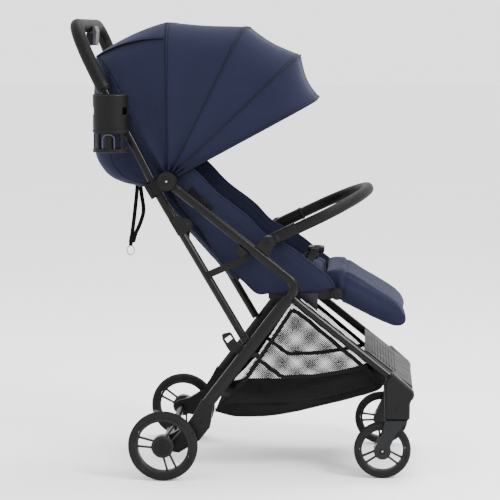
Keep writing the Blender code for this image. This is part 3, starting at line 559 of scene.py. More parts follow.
def hoop(half_width, reach, foot=CANOPY_FOOT, shoulder=SHOULDER):
    """An arched hoop as (y, distance from the hub) from the right foot to the left foot."""
    half = [(half_width, foot + (reach - shoulder - foot) * i / HOOP_SIDE) for i in range(HOOP_SIDE)]
    for i in range(HOOP_SHOULDER):
        turn = (pi / 2) * i / HOOP_SHOULDER
        half.append((half_width - shoulder * (1 - cos(turn)), reach - shoulder * (1 - sin(turn))))
    inner = half_width - shoulder
    for i in range(HOOP_CROWN):
        share = i / HOOP_CROWN
        half.append((inner * (1 - share), reach - 0.0005 * (1 - share) ** 2))
    return [(-y, r) for y, r in half] + [(0.0, reach)] + [(y, r) for y, r in reversed(half)]


def hub_point(angle, y, reach):
    x, z = along(HUB, radians(angle), reach)
    return at(x, y, z)


def canopy_row(angle, reach, half_width=CANOPY_Y, lean=0.0, ripple=0.0, shoulder=SHOULDER, grow=0.0):
    row = []
    for y, r in hoop(half_width, reach, shoulder=shoulder):
        lift = smooth_step(r, 0.05, 0.20)
        point = hub_point(angle - lean * (y / half_width) ** 2, y, r)
        if ripple:
            wave = noise.noise(Vector((angle * 0.11, y * 9.0, r * 9.0)))
            fold = sin(radians(angle) * 34.0) * exp(-((r - 0.07) / 0.06) ** 2)
            point += Vector((0, -1 if y < 0 else 1, 0)) * (0.0016 * wave + 0.0008 * fold) * ripple * lift
        if grow:
            share = max(0.0, min(1.0, (r - (reach - shoulder)) / shoulder))
            outward = Vector((0, (-1 if y < 0 else 1) * (1 - share), 0))
            outward += Vector((cos(radians(angle)), 0, sin(radians(angle)))) * share
            point += outward.normalized() * grow
        row.append(point)
    return row


def canopy_weight(start, end, lean):
    """0 on the hoop at the start angle, 1 on the hoop at the end angle."""
    def weight(point):
        angle = degrees(atan2(point.z - HUB[1], point.x - HUB[0]))
        angle += lean * (point.y / CANOPY_Y) ** 2 * max(0.0, (angle - end) / (start - end))
        return min(1.0, max(0.0, (start - angle) / (start - end)))
    return weight


def panel(name, first, last, sag, side_sag, bodies, lean=0.0, rows=22):
    """The cloth between two hoops. It hangs in a little between them."""
    (angle_a, reach_a), (angle_b, reach_b) = first, last
    grid = []
    for i in range(rows + 1):
        t = i / rows
        dip = sin(pi * t)
        angle = angle_a + (angle_b - angle_a) * t
        reach = reach_a + (reach_b - reach_a) * t - sag * dip
        grid.append(canopy_row(angle, reach, CANOPY_Y - side_sag * dip, lean * (1 - t) ** 2, dip))
    obj = new_piece(name, *sheet_mesh(grid), navy)
    area = surface_area(obj)
    set_blend(obj, *bodies, canopy_weight(angle_a, angle_b, lean))
    outward_thickness(obj, 0.0013)
    return obj, area


def outward_thickness(obj, thickness):
    """Cloth thickness, grown inwards whichever way the normals point."""
    middle = at(HUB[0], 0, HUB[1])
    outward = sum(face.normal.dot(face.center - middle) * face.area for face in obj.data.polygons)
    thickened(obj, thickness, -1.0 if outward > 0 else 1.0)


def make_canopy():
    stations = (CANOPY_REAR, *BOWS)
    bodies = ("root", "bow_1", "bow_2", "bow_3", "bow_4")
    names = ("canopy_panel_rear", "canopy_panel_top", "canopy_panel_front", "canopy_panel_visor")
    sags = (0.004, 0.012, 0.012, 0.012)
    for i, name in enumerate(names):
        obj, area = panel(name, stations[i], stations[i + 1], sags[i], 0.004, bodies[i:i + 2],
                          REAR_LEAN if i == 0 else 0.0)
        if i == 1:
            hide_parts("canopy_fabric")
    for i, (angle, reach) in enumerate(BOWS):
        path = canopy_row(angle, reach, grow=0.0004)
        last = i == len(BOWS) - 1
        welt = oval(0.0030 if last else 0.0023, 0.0017 if last else 0.0011, 12)
        sweep(f"canopy_welt_{i + 1}", path, welt, navy_tape, f"bow_{i + 1}", side=(1, 0, 0.3))
        for offset in ((-1.5,) if last else (-1.15, 1.15)):
            run = canopy_row(angle - offset, reach - 0.0006, grow=0.0002)
            stitches(f"canopy_stitch_{i + 1}_{'a' if offset < 0 else 'b'}", run, 0.0042, 0.0026, 0.00035,
                     navy_thread, f"bow_{i + 1}")


def stitches(name, path, pitch, length, radius, finish, body):
    """A row of short thread stitches along a line."""
    path = [Vector(p) for p in path]
    marks, travelled = [], 0.0
    for a, b in zip(path, path[1:]):
        span = (b - a).length
        while travelled < span:
            marks.append((a.lerp(b, travelled / span), (b - a).normalized()))
            travelled += pitch
        travelled -= span
    section = oval(radius, radius, 4)
    parts = []
    for point, way in marks:
        line = [point - way * length / 2, point + way * length / 2]
        side = way.orthogonal()
        parts.append(sweep_mesh(line, section, side))
    return gathered(name, parts, finish, body)


REAR_PATH = [(-0.4032, 0.9124), (-0.4040, 0.8700), (-0.4035, 0.8000), (-0.4035, 0.7500), (-0.4000, 0.7050),
             (-0.3890, 0.6790), (-0.3700, 0.6560), (-0.3420, 0.6420), (-0.3000, 0.6345)]


def make_canopy_rear():
    """The cloth behind the seat: it hangs from the canopy's rear edge and turns in under the back."""
    path = curve_points([(x, z, 0.0) for x, z in REAR_PATH], 5)
    rows = []
    for point in path:
        dx, dz = point.x - HUB[0], point.y - HUB[1]
        angle = degrees(atan2(dz, dx)) % 360
        reach = hypot(dx, dz)
        share = smooth_step(angle, 123.8, 140.0)
        shoulder = min(SHOULDER, 0.75 * (reach - CANOPY_FOOT))
        slack = sin(pi * min(1.0, (angle - 123.8) / 70.0))
        rows.append(canopy_row(angle, reach, CANOPY_Y - 0.009 * share, REAR_LEAN * (1 - share), slack,
                               shoulder))
    obj = new_piece("canopy_rear_cloth", *sheet_mesh(rows), navy, "root")
    outward_thickness(obj, 0.0013)
    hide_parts("canopy_rear")
    sweep("canopy_rear_hem", rows[-1], oval(0.0022, 0.0015, 10), navy_tape, "root",
          side=(1, 0, 0))
    for index, side in ((HOOP_SIDE + 3, "right"), (-HOOP_SIDE - 4, "left")):
        line = [row[index] + Vector((0, -0.0004 if side == "right" else 0.0004, 0)) for row in rows]
        sweep(f"canopy_rear_seam_{side}", line, oval(0.0014, 0.0009, 8), navy_tape, "root",
              side=(0, 1, 0))


def make_canopy_flap():
    """A flap over the rear top, with its sides loose."""
    (angle_a, reach_a), (angle_b, reach_b) = CANOPY_REAR, BOWS[0]
    rows, count = [], 26
    for i in range(15):
        t = i / 14
        angle = angle_a + (angle_b + 0.8 - angle_a) * t
        reach = reach_a + (reach_b - reach_a) * t - 0.004 * sin(pi * t)
        low = radians(69) + (radians(33) - radians(69)) * t
        half_y = CANOPY_Y - 0.004 * sin(pi * t)
        row = []
        for j in range(-count, count + 1):
            share = abs(j) / count
            # from the crown's middle, out over the flat and down the shoulder
            turn = pi / 2 - (pi / 2 - low) * max(0.0, (share - 0.45) / 0.55)
            if share < 0.45:
                y, r = (half_y - SHOULDER) * share / 0.45, reach
            else:
                y, r = half_y - SHOULDER * (1 - cos(turn)), reach - SHOULDER * (1 - sin(turn))
            lift = 0.0016 + 0.0042 * smooth_step(share, 0.72, 1.0) * (0.35 + 0.65 * sin(pi * min(1, t * 1.1)))
            y_sign = -1 if j < 0 else 1
            normal = Vector((cos(radians(angle)) * sin(turn), y_sign * cos(turn),
                             sin(radians(angle)) * sin(turn)))
            lean = REAR_LEAN * (y / CANOPY_Y) ** 2 * (1 - t) ** 2
            row.append(hub_point(angle - lean, y_sign * y, r) + normal * lift)
        rows.append(row)
    obj = new_piece("canopy_flap", *sheet_mesh(rows), navy)
    weight = canopy_weight(angle_a, angle_b, REAR_LEAN)
    set_blend(obj, "root", "bow_1", weight)
    outward_thickness(obj, 0.0012)
    parts = [sweep_mesh([row[k] for row in rows], oval(0.0016, 0.0013, 8), (0, 1, 0)) for k in (0, -1)]
    hem = gathered("canopy_flap_hem", parts, navy_tape)
    set_blend(hem, "root", "bow_1", weight)


# ---- pads ----------------------------------------------------------------------------------
def polygon_distance(point, outline):
    """Distance in the side view from a point to a closed outline."""
    best = 1.0
    for a, b in zip(outline, outline[1:] + outline[:1]):
        ax, az = a
        bx, bz = b
        dx, dz = bx - ax, bz - az
        t = ((point[0] - ax) * dx + (point[1] - az) * dz) / max(dx * dx + dz * dz, 1e-12)
        t = min(1.0, max(0.0, t))
        best = min(best, hypot(point[0] - ax - dx * t, point[1] - az - dz * t))
    return best


def inside(point, outline):
    x, z = point
    hit = False
    for (ax, az), (bx, bz) in zip(outline, outline[1:] + outline[:1]):
        if (az > z) != (bz > z) and x < (bx - ax) * (z - az) / (bz - az) + ax:
            hit = not hit
    return hit


def plate_object(name, outline, y_low, y_high):
    """A side view outline of (x, z) points, made solid between two y."""
    data = bpy.data.meshes.new(name)
    shape = bmesh.new()
    near = [shape.verts.new(at(x, y_low, z)) for x, z in outline]
    far = [shape.verts.new(at(x, y_high, z)) for x, z in outline]
    shape.faces.new(near)
    shape.faces.new(list(reversed(far)))
    for i in range(len(outline)):
        j = (i + 1) % len(outline)
        shape.faces.new((near[j], near[i], far[i], far[j]))
    bmesh.ops.recalc_face_normals(shape, faces=shape.faces)
    bmesh.ops.triangulate(shape, faces=shape.faces)
    shape.to_mesh(data)
    shape.free()
    obj = bpy.data.objects.new(name, data)
    scene.collection.objects.link(obj)
    return obj


def applied(obj):
    """The object with its modifiers applied."""
    bpy.context.view_layer.update()
    graph = bpy.context.evaluated_depsgraph_get()
    data = bpy.data.meshes.new_from_object(obj.evaluated_get(graph))
    obj.modifiers.clear()
    obj.data = data
    return obj


def remeshed(obj, voxel):
    change = obj.modifiers.new("remesh", "REMESH")
    change.mode = "VOXEL"
    change.voxel_size = voxel
    return applied(obj)


def swollen(obj, cap, pressure=4.0, frames=20):
    """Swell a pad as stuffed cloth does; no point moves further than the cap."""
    rest = [v.co.copy() for v in obj.data.vertices]
    cloth = obj.modifiers.new("cloth", "CLOTH")
    cloth.settings.quality = 5
    cloth.settings.mass = 0.25
    cloth.settings.tension_stiffness = 12
    cloth.settings.compression_stiffness = 12
    cloth.settings.shear_stiffness = 6
    cloth.settings.bending_stiffness = 1.5
    cloth.settings.use_pressure = True
    cloth.settings.uniform_pressure_force = pressure
    cloth.settings.effector_weights.gravity = 0.0
    cloth.collision_settings.use_collision = False
    cloth.point_cache.frame_start = 1
    cloth.point_cache.frame_end = frames
    for step in range(1, frames + 1):
        scene.frame_set(step)
    applied(obj)
    scene.frame_set(1)
    for vertex, start in zip(obj.data.vertices, rest):
        move = vertex.co - start
        if move.length > cap:
            vertex.co = start + move.normalized() * cap
    return obj


def soften_mesh(obj, rounds=2, factor=0.5):
    shape = bmesh.new()
    shape.from_mesh(obj.data)
    for _ in range(rounds):
        bmesh.ops.smooth_vert(shape, verts=shape.verts, factor=factor, use_axis_x=True, use_axis_y=True,
                              use_axis_z=True)
    shape.to_mesh(obj.data)
    shape.free()
    return obj


def press(obj, distance, depth, width):
    """Sink a seam: points near where distance(point) is 0 move in along their normals."""
    obj.data.update()
    moves = []
    for vertex in obj.data.vertices:
        gap = distance(vertex.co - ORIGIN)
        moves.append(vertex.normal * (-depth * exp(-(gap / width) ** 2)))
    for vertex, move in zip(obj.data.vertices, moves):
        vertex.co += move
    return obj


def pad(name, outline, half_y, voxel, cap):
    obj = plate_object(name, outline, -half_y, half_y)
    remeshed(obj, voxel)
    swollen(obj, cap)
    return soften_mesh(obj)


def finish_pad(obj, finish, body=None, levels=1):
    obj.data.materials.clear()
    obj.data.materials.append(finish)
    obj.data.shade_smooth()
    if levels:
        subdivided(obj, levels)
    if body:
        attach(obj, body)
    return obj


SEAT_SIDE = [(-0.2060, 0.6700), (-0.1769, 0.6749), (-0.1246, 0.6230), (-0.0621, 0.5754), (-0.0204, 0.5336),
             (0.0398, 0.5024), (0.0868, 0.4661), (0.1180, 0.4420), (0.1330, 0.4150), (0.1000, 0.4080),
             (0.0600, 0.4060),
             (-0.0089, 0.4020), (-0.0391, 0.4020), (-0.0707, 0.4304), (-0.1166, 0.4679), (-0.1574, 0.5368),
             (-0.1793, 0.5619), (-0.2200, 0.6200)]
LEG_REST = [(0.1060, 0.4490), (0.1240, 0.4540), (0.1420, 0.4520), (0.1580, 0.4425), (0.2535, 0.3845),
            (0.2770, 0.3670), (0.2905, 0.3450), (0.2900, 0.3340), (0.2757, 0.3265), (0.2195, 0.3500),
            (0.1594, 0.3810), (0.1360, 0.3905), (0.1180, 0.4160)]


def inset(outline, distance):
    """A closed outline drawn in by a distance."""
    moved = []
    for before, corner, after in zip(outline[-1:] + outline[:-1], outline, outline[1:] + outline[:1]):
        into = Vector((after[0] - before[0], after[1] - before[1])).normalized()
        for normal in (Vector((-into.y, into.x)), Vector((into.y, -into.x))):
            spot = Vector(corner) + normal * distance
            if inside(spot, outline):
                moved.append(tuple(spot))
                break
        else:
            moved.append(corner)
    return moved


def make_seat_sides():
    for side, sign in SIDES:
        obj = plate_object(f"seat_wing_{side}", SEAT_SIDE, sign * (FABRIC_Y - 0.0022),
                           sign * (FABRIC_Y + 0.0018))
        remeshed(obj, 0.0038)
        for vertex in obj.data.vertices:
            point = vertex.co - ORIGIN
            edge = polygon_distance((point.x, point.z), SEAT_SIDE)
            swell = 1 - exp(-(edge / 0.014) ** 2)
            out = 1 if (point.y - sign * FABRIC_Y) * sign > 0 else -1
            wave = noise.noise(Vector((point.x * 26, sign * 3.0, point.z * 26)))
            room = 0.0048 if out > 0 else (0.0038 if point.z > 0.43 else 0.0)
            vertex.co.y += sign * out * swell * (room + 0.0010 * wave)
        soften_mesh(obj, 2)
        # a sewn line that follows the top edge
        top = SEAT_SIDE[1:8]
        there_and_back = top + top[::-1]
        press(obj, lambda p: abs(polygon_distance((p.x, p.z), there_and_back) - 0.017), 0.0011, 0.0022)
        finish_pad(obj, navy, "root")
        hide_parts(f"seat_side_{side}")
        hem = inset(SEAT_SIDE, 0.0018)
        line = curve_points([at(x, sign * FABRIC_Y, z) for x, z in hem[0:9]], 6)
        sweep(f"seat_piping_{side}", line, oval(0.0026, 0.0026, 10), navy, "root",
              side=(0, 1, 0), dome=0.002)
        low = curve_points([at(x, sign * FABRIC_Y, z) for x, z in [*hem[8:], hem[0]]], 6)
        sweep(f"seat_piping_low_{side}", low, oval(0.0022, 0.0022, 10), navy_tape, "root",
              side=(0, 1, 0), dome=0.002)


def make_seat_pad():
    outline = [(-0.0600, 0.4100), (0.1120, 0.4145), (0.1080, 0.4400), (0.0950, 0.4440), (-0.0300, 0.4420),
               (-0.0480, 0.4330), (-0.0600, 0.4250)]
    obj = pad("seat_cushion", outline, 0.1400, 0.0050, 0.006)
    # a dip where the child sits, then a sewn channel across and two along
    for vertex in obj.data.vertices:
        point = vertex.co - ORIGIN
        if point.z > 0.435:
            vertex.co.z += 0.004 * (abs(point.y) / 0.14) ** 2 - 0.002
            vertex.co.z += 0.0010 * noise.noise(Vector((point.x * 24, point.y * 24, 1.0)))
    press(obj, lambda p: abs(p.x - 0.030) if p.z > 0.43 else 1.0, 0.0035, 0.0040)
    press(obj, lambda p: abs(abs(p.y) - 0.098) if p.z > 0.43 else 1.0, 0.0035, 0.0040)
    finish_pad(obj, navy, "root")
    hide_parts("seat_base")


BACK_ANGLE = radians(132)


def back_frame(point):
    """(distance up the back, distance in front of it) of a design point."""
    dx, dz = point.x - SEAT_HINGE[0], point.z - SEAT_HINGE[1]
    return (dx * cos(BACK_ANGLE) + dz * sin(BACK_ANGLE), dx * sin(BACK_ANGLE) - dz * cos(BACK_ANGLE))


def on_back(reach, y, front):
    x, z = along(SEAT_HINGE, BACK_ANGLE, reach, -front)
    return at(x, y, z)


def make_backrest():
    outline = [along(SEAT_HINGE, BACK_ANGLE, reach, across)
               for reach, across in ((0.030, -0.010), (0.466, -0.010), (0.468, 0.009), (0.030, 0.009))]
    obj = pad("back_cushion", outline, 0.1340, 0.0052, 0.007)
    for vertex in obj.data.vertices:
        point = vertex.co - ORIGIN
        up, front = back_frame(point)
        if front > 0.004:
            # side bolsters stand proud of the middle
            lift = 0.006 * smooth_step(abs(point.y), 0.085, 0.115)
            lift *= 1 - smooth_step(abs(point.y), 0.128, 0.137)
            lift += 0.0012 * noise.noise(Vector((up * 20, point.y * 20, 2.0)))
            vertex.co += Vector((sin(BACK_ANGLE), 0, -cos(BACK_ANGLE))) * lift
    for reach in (0.130, 0.215, 0.300, 0.385):
        press(obj, lambda p, reach=reach: abs(back_frame(p)[0] - reach) if abs(p.y) < 0.092
              and back_frame(p)[1] > 0 else 1.0, 0.0032, 0.0038)
    press(obj, lambda p: abs(abs(p.y) - 0.092) if back_frame(p)[1] > 0 else 1.0, 0.0036, 0.0040)
    press(obj, lambda p: abs(abs(p.y) - 0.118) if back_frame(p)[1] < 0 else 1.0, 0.0022, 0.0036)
    press(obj, lambda p: abs(back_frame(p)[0] - 0.250) if back_frame(p)[1] < 0 else 1.0, 0.0022, 0.0036)
    finish_pad(obj, navy, "back")
    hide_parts("backrest")
    rim = [(0.036, 0.1365), (0.250, 0.1385), (0.440, 0.1375), (0.462, 0.130), (0.4700, 0.112)]
    edge = [on_back(reach, -y, 0.0) for reach, y in rim] + [on_back(0.4712, 0.0, 0.0)]
    edge += [on_back(reach, y, 0.0) for reach, y in rim[::-1]]
    sweep("back_piping", curve_points(edge, 8), oval(0.0024, 0.0024, 10), navy_tape, "back",
          side=(0, 1, 0), dome=0.002)


def leg_weight(point):
    return smooth_step(point.x, 0.122, 0.170)


def make_leg_rest():
    obj = pad("leg_rest_pad", LEG_REST, PAD_Y - 0.004, 0.0050, 0.006)
    slope = heading((0.158, 0.4425), (0.2535, 0.3845))

    def across_seam(p):
        dx, dz = p.x - 0.1560, p.z - 0.4425
        return abs(dx * cos(slope + 0.35) + dz * sin(slope + 0.35))

    press(obj, across_seam, 0.0036, 0.0036)
    for vertex in obj.data.vertices:
        point = vertex.co - ORIGIN
        wave = noise.noise(Vector((point.x * 18, point.y * 18, point.z * 18)))
        vertex.co += vertex.normal * 0.0011 * wave
    # the side panel is sewn on along its upper rim
    press(obj, lambda p: abs(abs(p.y) - 0.1290) if p.z > 0.395 - (p.x - 0.16) * 0.62 else 1.0, 0.0014, 0.0026)
    obj.data.materials.clear()
    obj.data.materials.append(navy)
    obj.data.shade_smooth()
    set_blend(obj, "root", "calf", leg_weight)
    subdivided(obj)
    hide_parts("leg_rest")


def ribbon_mesh(path, width, thickness, wide):
    """A flat strap along a path; wide is the direction across it."""
    return sweep_mesh(path, oval(width / 2, thickness / 2, 12, 4.0), wide)


def webbing(name, points, width, thickness, wide, body):
    """A black strap through points."""
    return gathered(name, [ribbon_mesh(curve_points(points, 6), width, thickness, wide)], black_tape, body)


def make_harness():
    pad_path = [at(x, 0, z) for x, z in ((0.034, 0.4470), (0.048, 0.4590), (0.068, 0.4660), (0.090, 0.4690))]
    obj = sweep("crotch_pad", curve_points(pad_path, 6), oval(0.0240, 0.0075, 28, 2.8), navy_dark, "root",
                side=(0, 1, 0), dome=0.004,
                scale=lambda t: 0.86 + 0.20 * sin(pi * min(1.0, t * 1.05)))
    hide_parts("harness_buckle")
    strap = [at(x, 0, z) for x, z in ((0.028, 0.4400), (0.040, 0.4560), (0.066, 0.4745), (0.090, 0.4785),
                                      (0.104, 0.4770))]
    webbing("crotch_strap", strap, 0.025, 0.0022, (0, 1, 0), "root")
    body = [box_mesh((0.070, -0.021, 0.4775), (0.106, 0.021, 0.4905))]
    bevelled(gathered("buckle_body", body, plastic_black, "root"), 0.0035, 3)
    tongues = [box_mesh((0.074, sign * 0.0205, 0.4800), (0.094, sign * 0.0290, 0.4885)) for sign in (-1, 1)]
    bevelled(gathered("buckle_tongues", tongues, plastic_slate, "root", "plastic_black"), 0.0018, 2)
    button = lathe_mesh(disc_profile(0.0085, 0.489, 0.4925, 0.0012), at(0.090, 0, 0), "Z", 28, False)
    gathered("buckle_button", [button], plastic_slate, "root", "plastic_black")
    for side, sign in SIDES:
        waist = [at(x, sign * y, z) for x, y, z in
                 ((0.084, 0.029, 0.4845), (0.078, 0.052, 0.4700), (0.060, 0.090, 0.4520),
                  (0.030, 0.128, 0.4500), (-0.010, 0.1385, 0.4560))]
        webbing(f"waist_strap_{side}", waist, 0.020, 0.0018, (1, 0, 0.25), "root")
        run = [on_back(reach, sign * y, front) for reach, y, front in
               ((0.395, 0.040, 0.0120), (0.370, 0.042, 0.0205), (0.280, 0.046, 0.0215),
                (0.190, 0.052, 0.0215), (0.110, 0.060, 0.0210), (0.072, 0.066, 0.0180))]
        webbing(f"shoulder_strap_{side}", run, 0.022, 0.0018, (0, 1, 0), "back")
        cover = [on_back(reach, sign * y, front) for reach, y, front in
                 ((0.352, 0.0425, 0.0225), (0.290, 0.0455, 0.0240), (0.215, 0.0500, 0.0240))]
        obj = sweep(f"shoulder_pad_{side}", curve_points(cover, 8), oval(0.0215, 0.0055, 24, 2.8), navy_dark,
                    "back", side=(0, 1, 0), dome=0.004)


# ---- recline strap, side clip --------------------------------------------------------------
def make_straps():
    wide = (0.78, 0.62, 0.0)
    runs = (
        ((-0.3176, -0.0030, 0.6380), (-0.3200, -0.0040, 0.6050), (-0.3265, -0.0020, 0.5500),
         (-0.3325, -0.0006, 0.5080), (-0.3350, 0.0000, 0.4885)),
        ((-0.3130, 0.0030, 0.6370), (-0.3100, 0.0060, 0.6050), (-0.3057, 0.0070, 0.5690),
         (-0.3130, 0.0050, 0.5400), (-0.3235, 0.0024, 0.5160), (-0.3290, 0.0012, 0.4960)),
    )
    parts = [ribbon_mesh(curve_points([at(*point) for point in run], 7), 0.0105, 0.0017, wide)
             for run in runs]
    obj = gathered("recline_webbing", parts, black_tape, "root")
    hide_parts("recline_strap")
    tack = [at(-0.3315, 0.0, 0.5100), at(-0.3335, 0.0, 0.4960)]
    gathered("recline_tack", [ribbon_mesh(resampled(tack, 4), 0.0125, 0.0052, wide)], black_tape, "root")
    centre = at(-0.3350, 0, 0.4775)
    turns = [2 * pi * i / 36 for i in range(36)]
    ring = [centre + Vector((0.0084 * cos(turn), 0.0, 0.0106 * sin(turn))) for turn in turns]
    obj = sweep("recline_pull_ring", ring, oval(0.0012, 0.0012, 10), steel, "root",
                side=(0, 1, 0), closed=True)
    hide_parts("recline_ring")
    for side, sign in SIDES:
        y = sign * 0.1600
        web = [at(-0.1835, sign * 0.1570, 0.6320), at(-0.1710, y, 0.6170), at(-0.1540, y, 0.6000),
               at(-0.1380, y, 0.5860)]
        webbing(f"side_web_{side}", web, 0.014, 0.0016, (0.64, 0, 0.76), "root")
        clip = [box_mesh((-0.1690, y - 0.0035, 0.5950), (-0.1490, y + 0.0035, 0.6120))]
        bevelled(gathered(f"side_clip_{side}", clip, plastic_black, "root"), 0.0022, 2)


# ---- basket --------------------------------------------------------------------------------
BASKET_LOW = [(-0.1290, 0.1365), (-0.0802, 0.1237), (0.0108, 0.1294), (0.1230, 0.1571), (0.2230, 0.1855),
              (0.2400, 0.2020)]
BASKET_TOP = [(-0.1255, 0.1440), (-0.0813, 0.1530), (0.0066, 0.1552), (0.0825, 0.1625), (0.1418, 0.1757),
              (0.1896, 0.1890), (0.2230, 0.2010)]
MESH_OUTLINE = [(-0.1180, 0.1490), (0.0391, 0.3667), (0.0573, 0.3571), (0.1930, 0.2440), (0.2330, 0.2080),
                (0.1896, 0.1890), (0.1418, 0.1757), (0.0825, 0.1625), (0.0066, 0.1552), (-0.0813, 0.1530)]
REAR_LEG_TURN = heading(LEG_PIVOT, (-0.150, 0.130))
FRONT_LEG_TURN = heading(LEG_PIVOT, (0.245, 0.228))


def basket_weight(point):
    """0 along the rear legs, 1 along the front legs, by angle about the legs' pivot."""
    angle = atan2(point.z - LEG_PIVOT[1], point.x - LEG_PIVOT[0])
    if hypot(point.z - LEG_PIVOT[1], point.x - LEG_PIVOT[0]) < 0.012:
        return 0.5
    if angle > 0:
        angle -= 2 * pi
    return min(1.0, max(0.0, (angle - REAR_LEG_TURN) / (FRONT_LEG_TURN - REAR_LEG_TURN)))


def resampled(points, count):
    """Evenly spaced points along a line."""
    points = [Vector(p) for p in points]
    steps = [0.0]
    for a, b in zip(points, points[1:]):
        steps.append(steps[-1] + (b - a).length)
    made, k = [], 0
    for i in range(count):
        want = steps[-1] * i / (count - 1)
        while k < len(steps) - 2 and steps[k + 1] < want:
            k += 1
        span = steps[k + 1] - steps[k]
        made.append(points[k].lerp(points[k + 1], (want - steps[k]) / span))
    return made


def make_basket():
    """A trough of black cloth with mesh sides, tape edges and bands."""
    lower = resampled(curve_points([(x, z, 0) for x, z in BASKET_LOW], 8), 40)
    upper = resampled(curve_points([(x, z, 0) for x, z in BASKET_TOP], 8), 40)
    rows = []
    for i, (low, top) in enumerate(zip(lower, upper)):
        t = i / 39
        row = []
        half = FABRIC_Y - 0.0012
        wall = [(-half, low.lerp(top, 1 - j / 9)) for j in range(9)]
        bend = 0.016
        floor = []
        for j in range(29):
            share = j / 28
            y = -half + 2 * half * share
            edge = min(share, 1 - share) * 2 * half
            # the floor sags between the sides, and turns up into them
            dip = 0.0045 * sin(pi * share) * sin(pi * min(1.0, t * 1.15))
            corner = bend * 0.35 * max(0.0, 1 - edge / bend) ** 2
            floor.append((y, Vector((low.x, low.y + corner - dip, 0))))
        section = wall + floor + [(half, p) for _, p in reversed(wall)]
        for k, (y, p) in enumerate(section):
            wave = noise.noise(Vector((p.x * 15, y * 12, p.y * 22)))
            fold = noise.noise(Vector((p.x * 40 + p.y * 30, y * 6, 3.0)))
            side = -1 if y < 0 else 1
            on_wall = k < 9 or k >= len(section) - 9
            bulge = (0.0030 * wave + 0.0014 * fold) if on_wall else 0.0
            lift = 0.0 if on_wall else 0.0022 * wave + 0.0012 * fold
            fade = smooth_step(min(t, 1 - t), 0.0, 0.08)
            row.append(at(p.x, y - side * (0.003 - bulge) * fade * (1 if on_wall else 0), p.y + lift * fade))
        rows.append(row)
    obj = new_piece("basket_cloth", *sheet_mesh(rows), black_cloth)
    set_blend(obj, "root", "front_frame", basket_weight)
    thickened(obj, 0.0012, 0.0)
    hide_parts("basket")
    hems = [sweep_mesh([r[0] for r in rows], oval(0.0018, 0.0040, 10, 3.0), (0, 1, 0)),
            sweep_mesh([r[-1] for r in rows], oval(0.0018, 0.0040, 10, 3.0), (0, 1, 0)),
            sweep_mesh(rows[0], oval(0.0018, 0.0034, 10), (1, 0, 0)),
            sweep_mesh(rows[-1], oval(0.0018, 0.0034, 10), (1, 0, 0))]
    for side, sign in SIDES:
        make_basket_side(side, sign)
    hem = gathered("basket_hem", hems, black_tape)
    set_blend(hem, "root", "front_frame", basket_weight)


CELL = 0.0046
YARN = 0.00085


def make_basket_side(side, sign):
    y = sign * (FABRIC_Y - 0.0006)
    low_x, high_x, low_z, high_z = -0.122, 0.236, 0.146, 0.372
    data = bpy.data.meshes.new(f"basket_mesh_{side}")
    shape = bmesh.new()
    # a slanted net: each cell is a small diamond
    verts, reach = {}, CELL / 2
    for i in range(int((high_x - low_x) / reach)):
        for j in range(int((high_z - low_z) / (reach * 0.92))):
            if (i + j) % 2 == 0:
                continue
            centre = (low_x + i * reach, low_z + j * reach * 0.92)
            if not inside(centre, MESH_OUTLINE):
                continue
            corners = []
            for di, dj in ((-1, 0), (0, -1), (1, 0), (0, 1)):
                key = (i + di, j + dj)
                if key not in verts:
                    px, pz = low_x + key[0] * reach, low_z + key[1] * reach * 0.92
                    sway = 0.0020 * noise.noise(Vector((px * 16, sign, pz * 16)))
                    verts[key] = shape.verts.new(at(px, y - sign * (0.0015 + sway), pz))
                corners.append(verts[key])
            shape.faces.new(corners)
    bmesh.ops.recalc_face_normals(shape, faces=shape.faces)
    shape.to_mesh(data)
    shape.free()
    data.materials.append(mesh_yarn)
    obj = bpy.data.objects.new(f"basket_mesh_{side}", data)
    scene.collection.objects.link(obj)
    set_blend(obj, "root", "front_frame", basket_weight)
    wires = obj.modifiers.new("yarn", "WIREFRAME")
    wires.thickness = 2 * YARN
    wires.use_even_offset = False
    wires.use_replace = True
    tape = oval(0.0008, 0.0046, 10, 3.0)
    lines = [
        [(-0.1250, 0.1440), (-0.0616, 0.2117), (0.0391, 0.3667)],
        [(0.0391, 0.3667), (0.0573, 0.3571), (0.1930, 0.2440), (0.2330, 0.2080)],
        [(-0.0365, 0.2570), (0.0180, 0.2165), (0.0909, 0.2200), (0.1462, 0.2290), (0.2050, 0.2420)],
    ]
    parts = []
    for line in lines:
        path = resampled([Vector((x, 0, z)) for x, z in rounded(line, 0.008, 4)], 26)
        path = [at(p.x, y + sign * 0.0007, p.z) for p in path]
        parts.append(sweep_mesh(path, tape, (0, 1, 0)))
    bands = gathered(f"basket_tape_{side}", parts, black_tape)
    set_blend(bands, "root", "front_frame", basket_weight)
    tabs = []
    for (x, z), (hold_x, hold_z) in (((-0.0300, 0.2600), (-0.0500, 0.2730)),
                                     ((-0.0980, 0.1730), (-0.1140, 0.1850))):
        path = [at(x, y, z), at((x + hold_x) / 2, sign * 0.172, (z + hold_z) / 2 + 0.002),
                at(hold_x, sign * 0.1925, hold_z)]
        tabs.append(sweep_mesh(curve_points(path, 5), oval(0.0010, 0.0065, 10, 3.0), (0, 1, 0)))
    gathered(f"basket_tabs_{side}", tabs, black_tape, "root")
    gusset = [(0.0560, 0.4040), (0.0960, 0.4040), (0.0945, 0.3630), (0.0750, 0.3790), (0.0600, 0.3900)]
    obj = plate_object(f"seat_gusset_{side}", gusset, sign * (FABRIC_Y - 0.0012), sign * (FABRIC_Y - 0.0002))
    finish_pad(obj, lining, "root", 0)


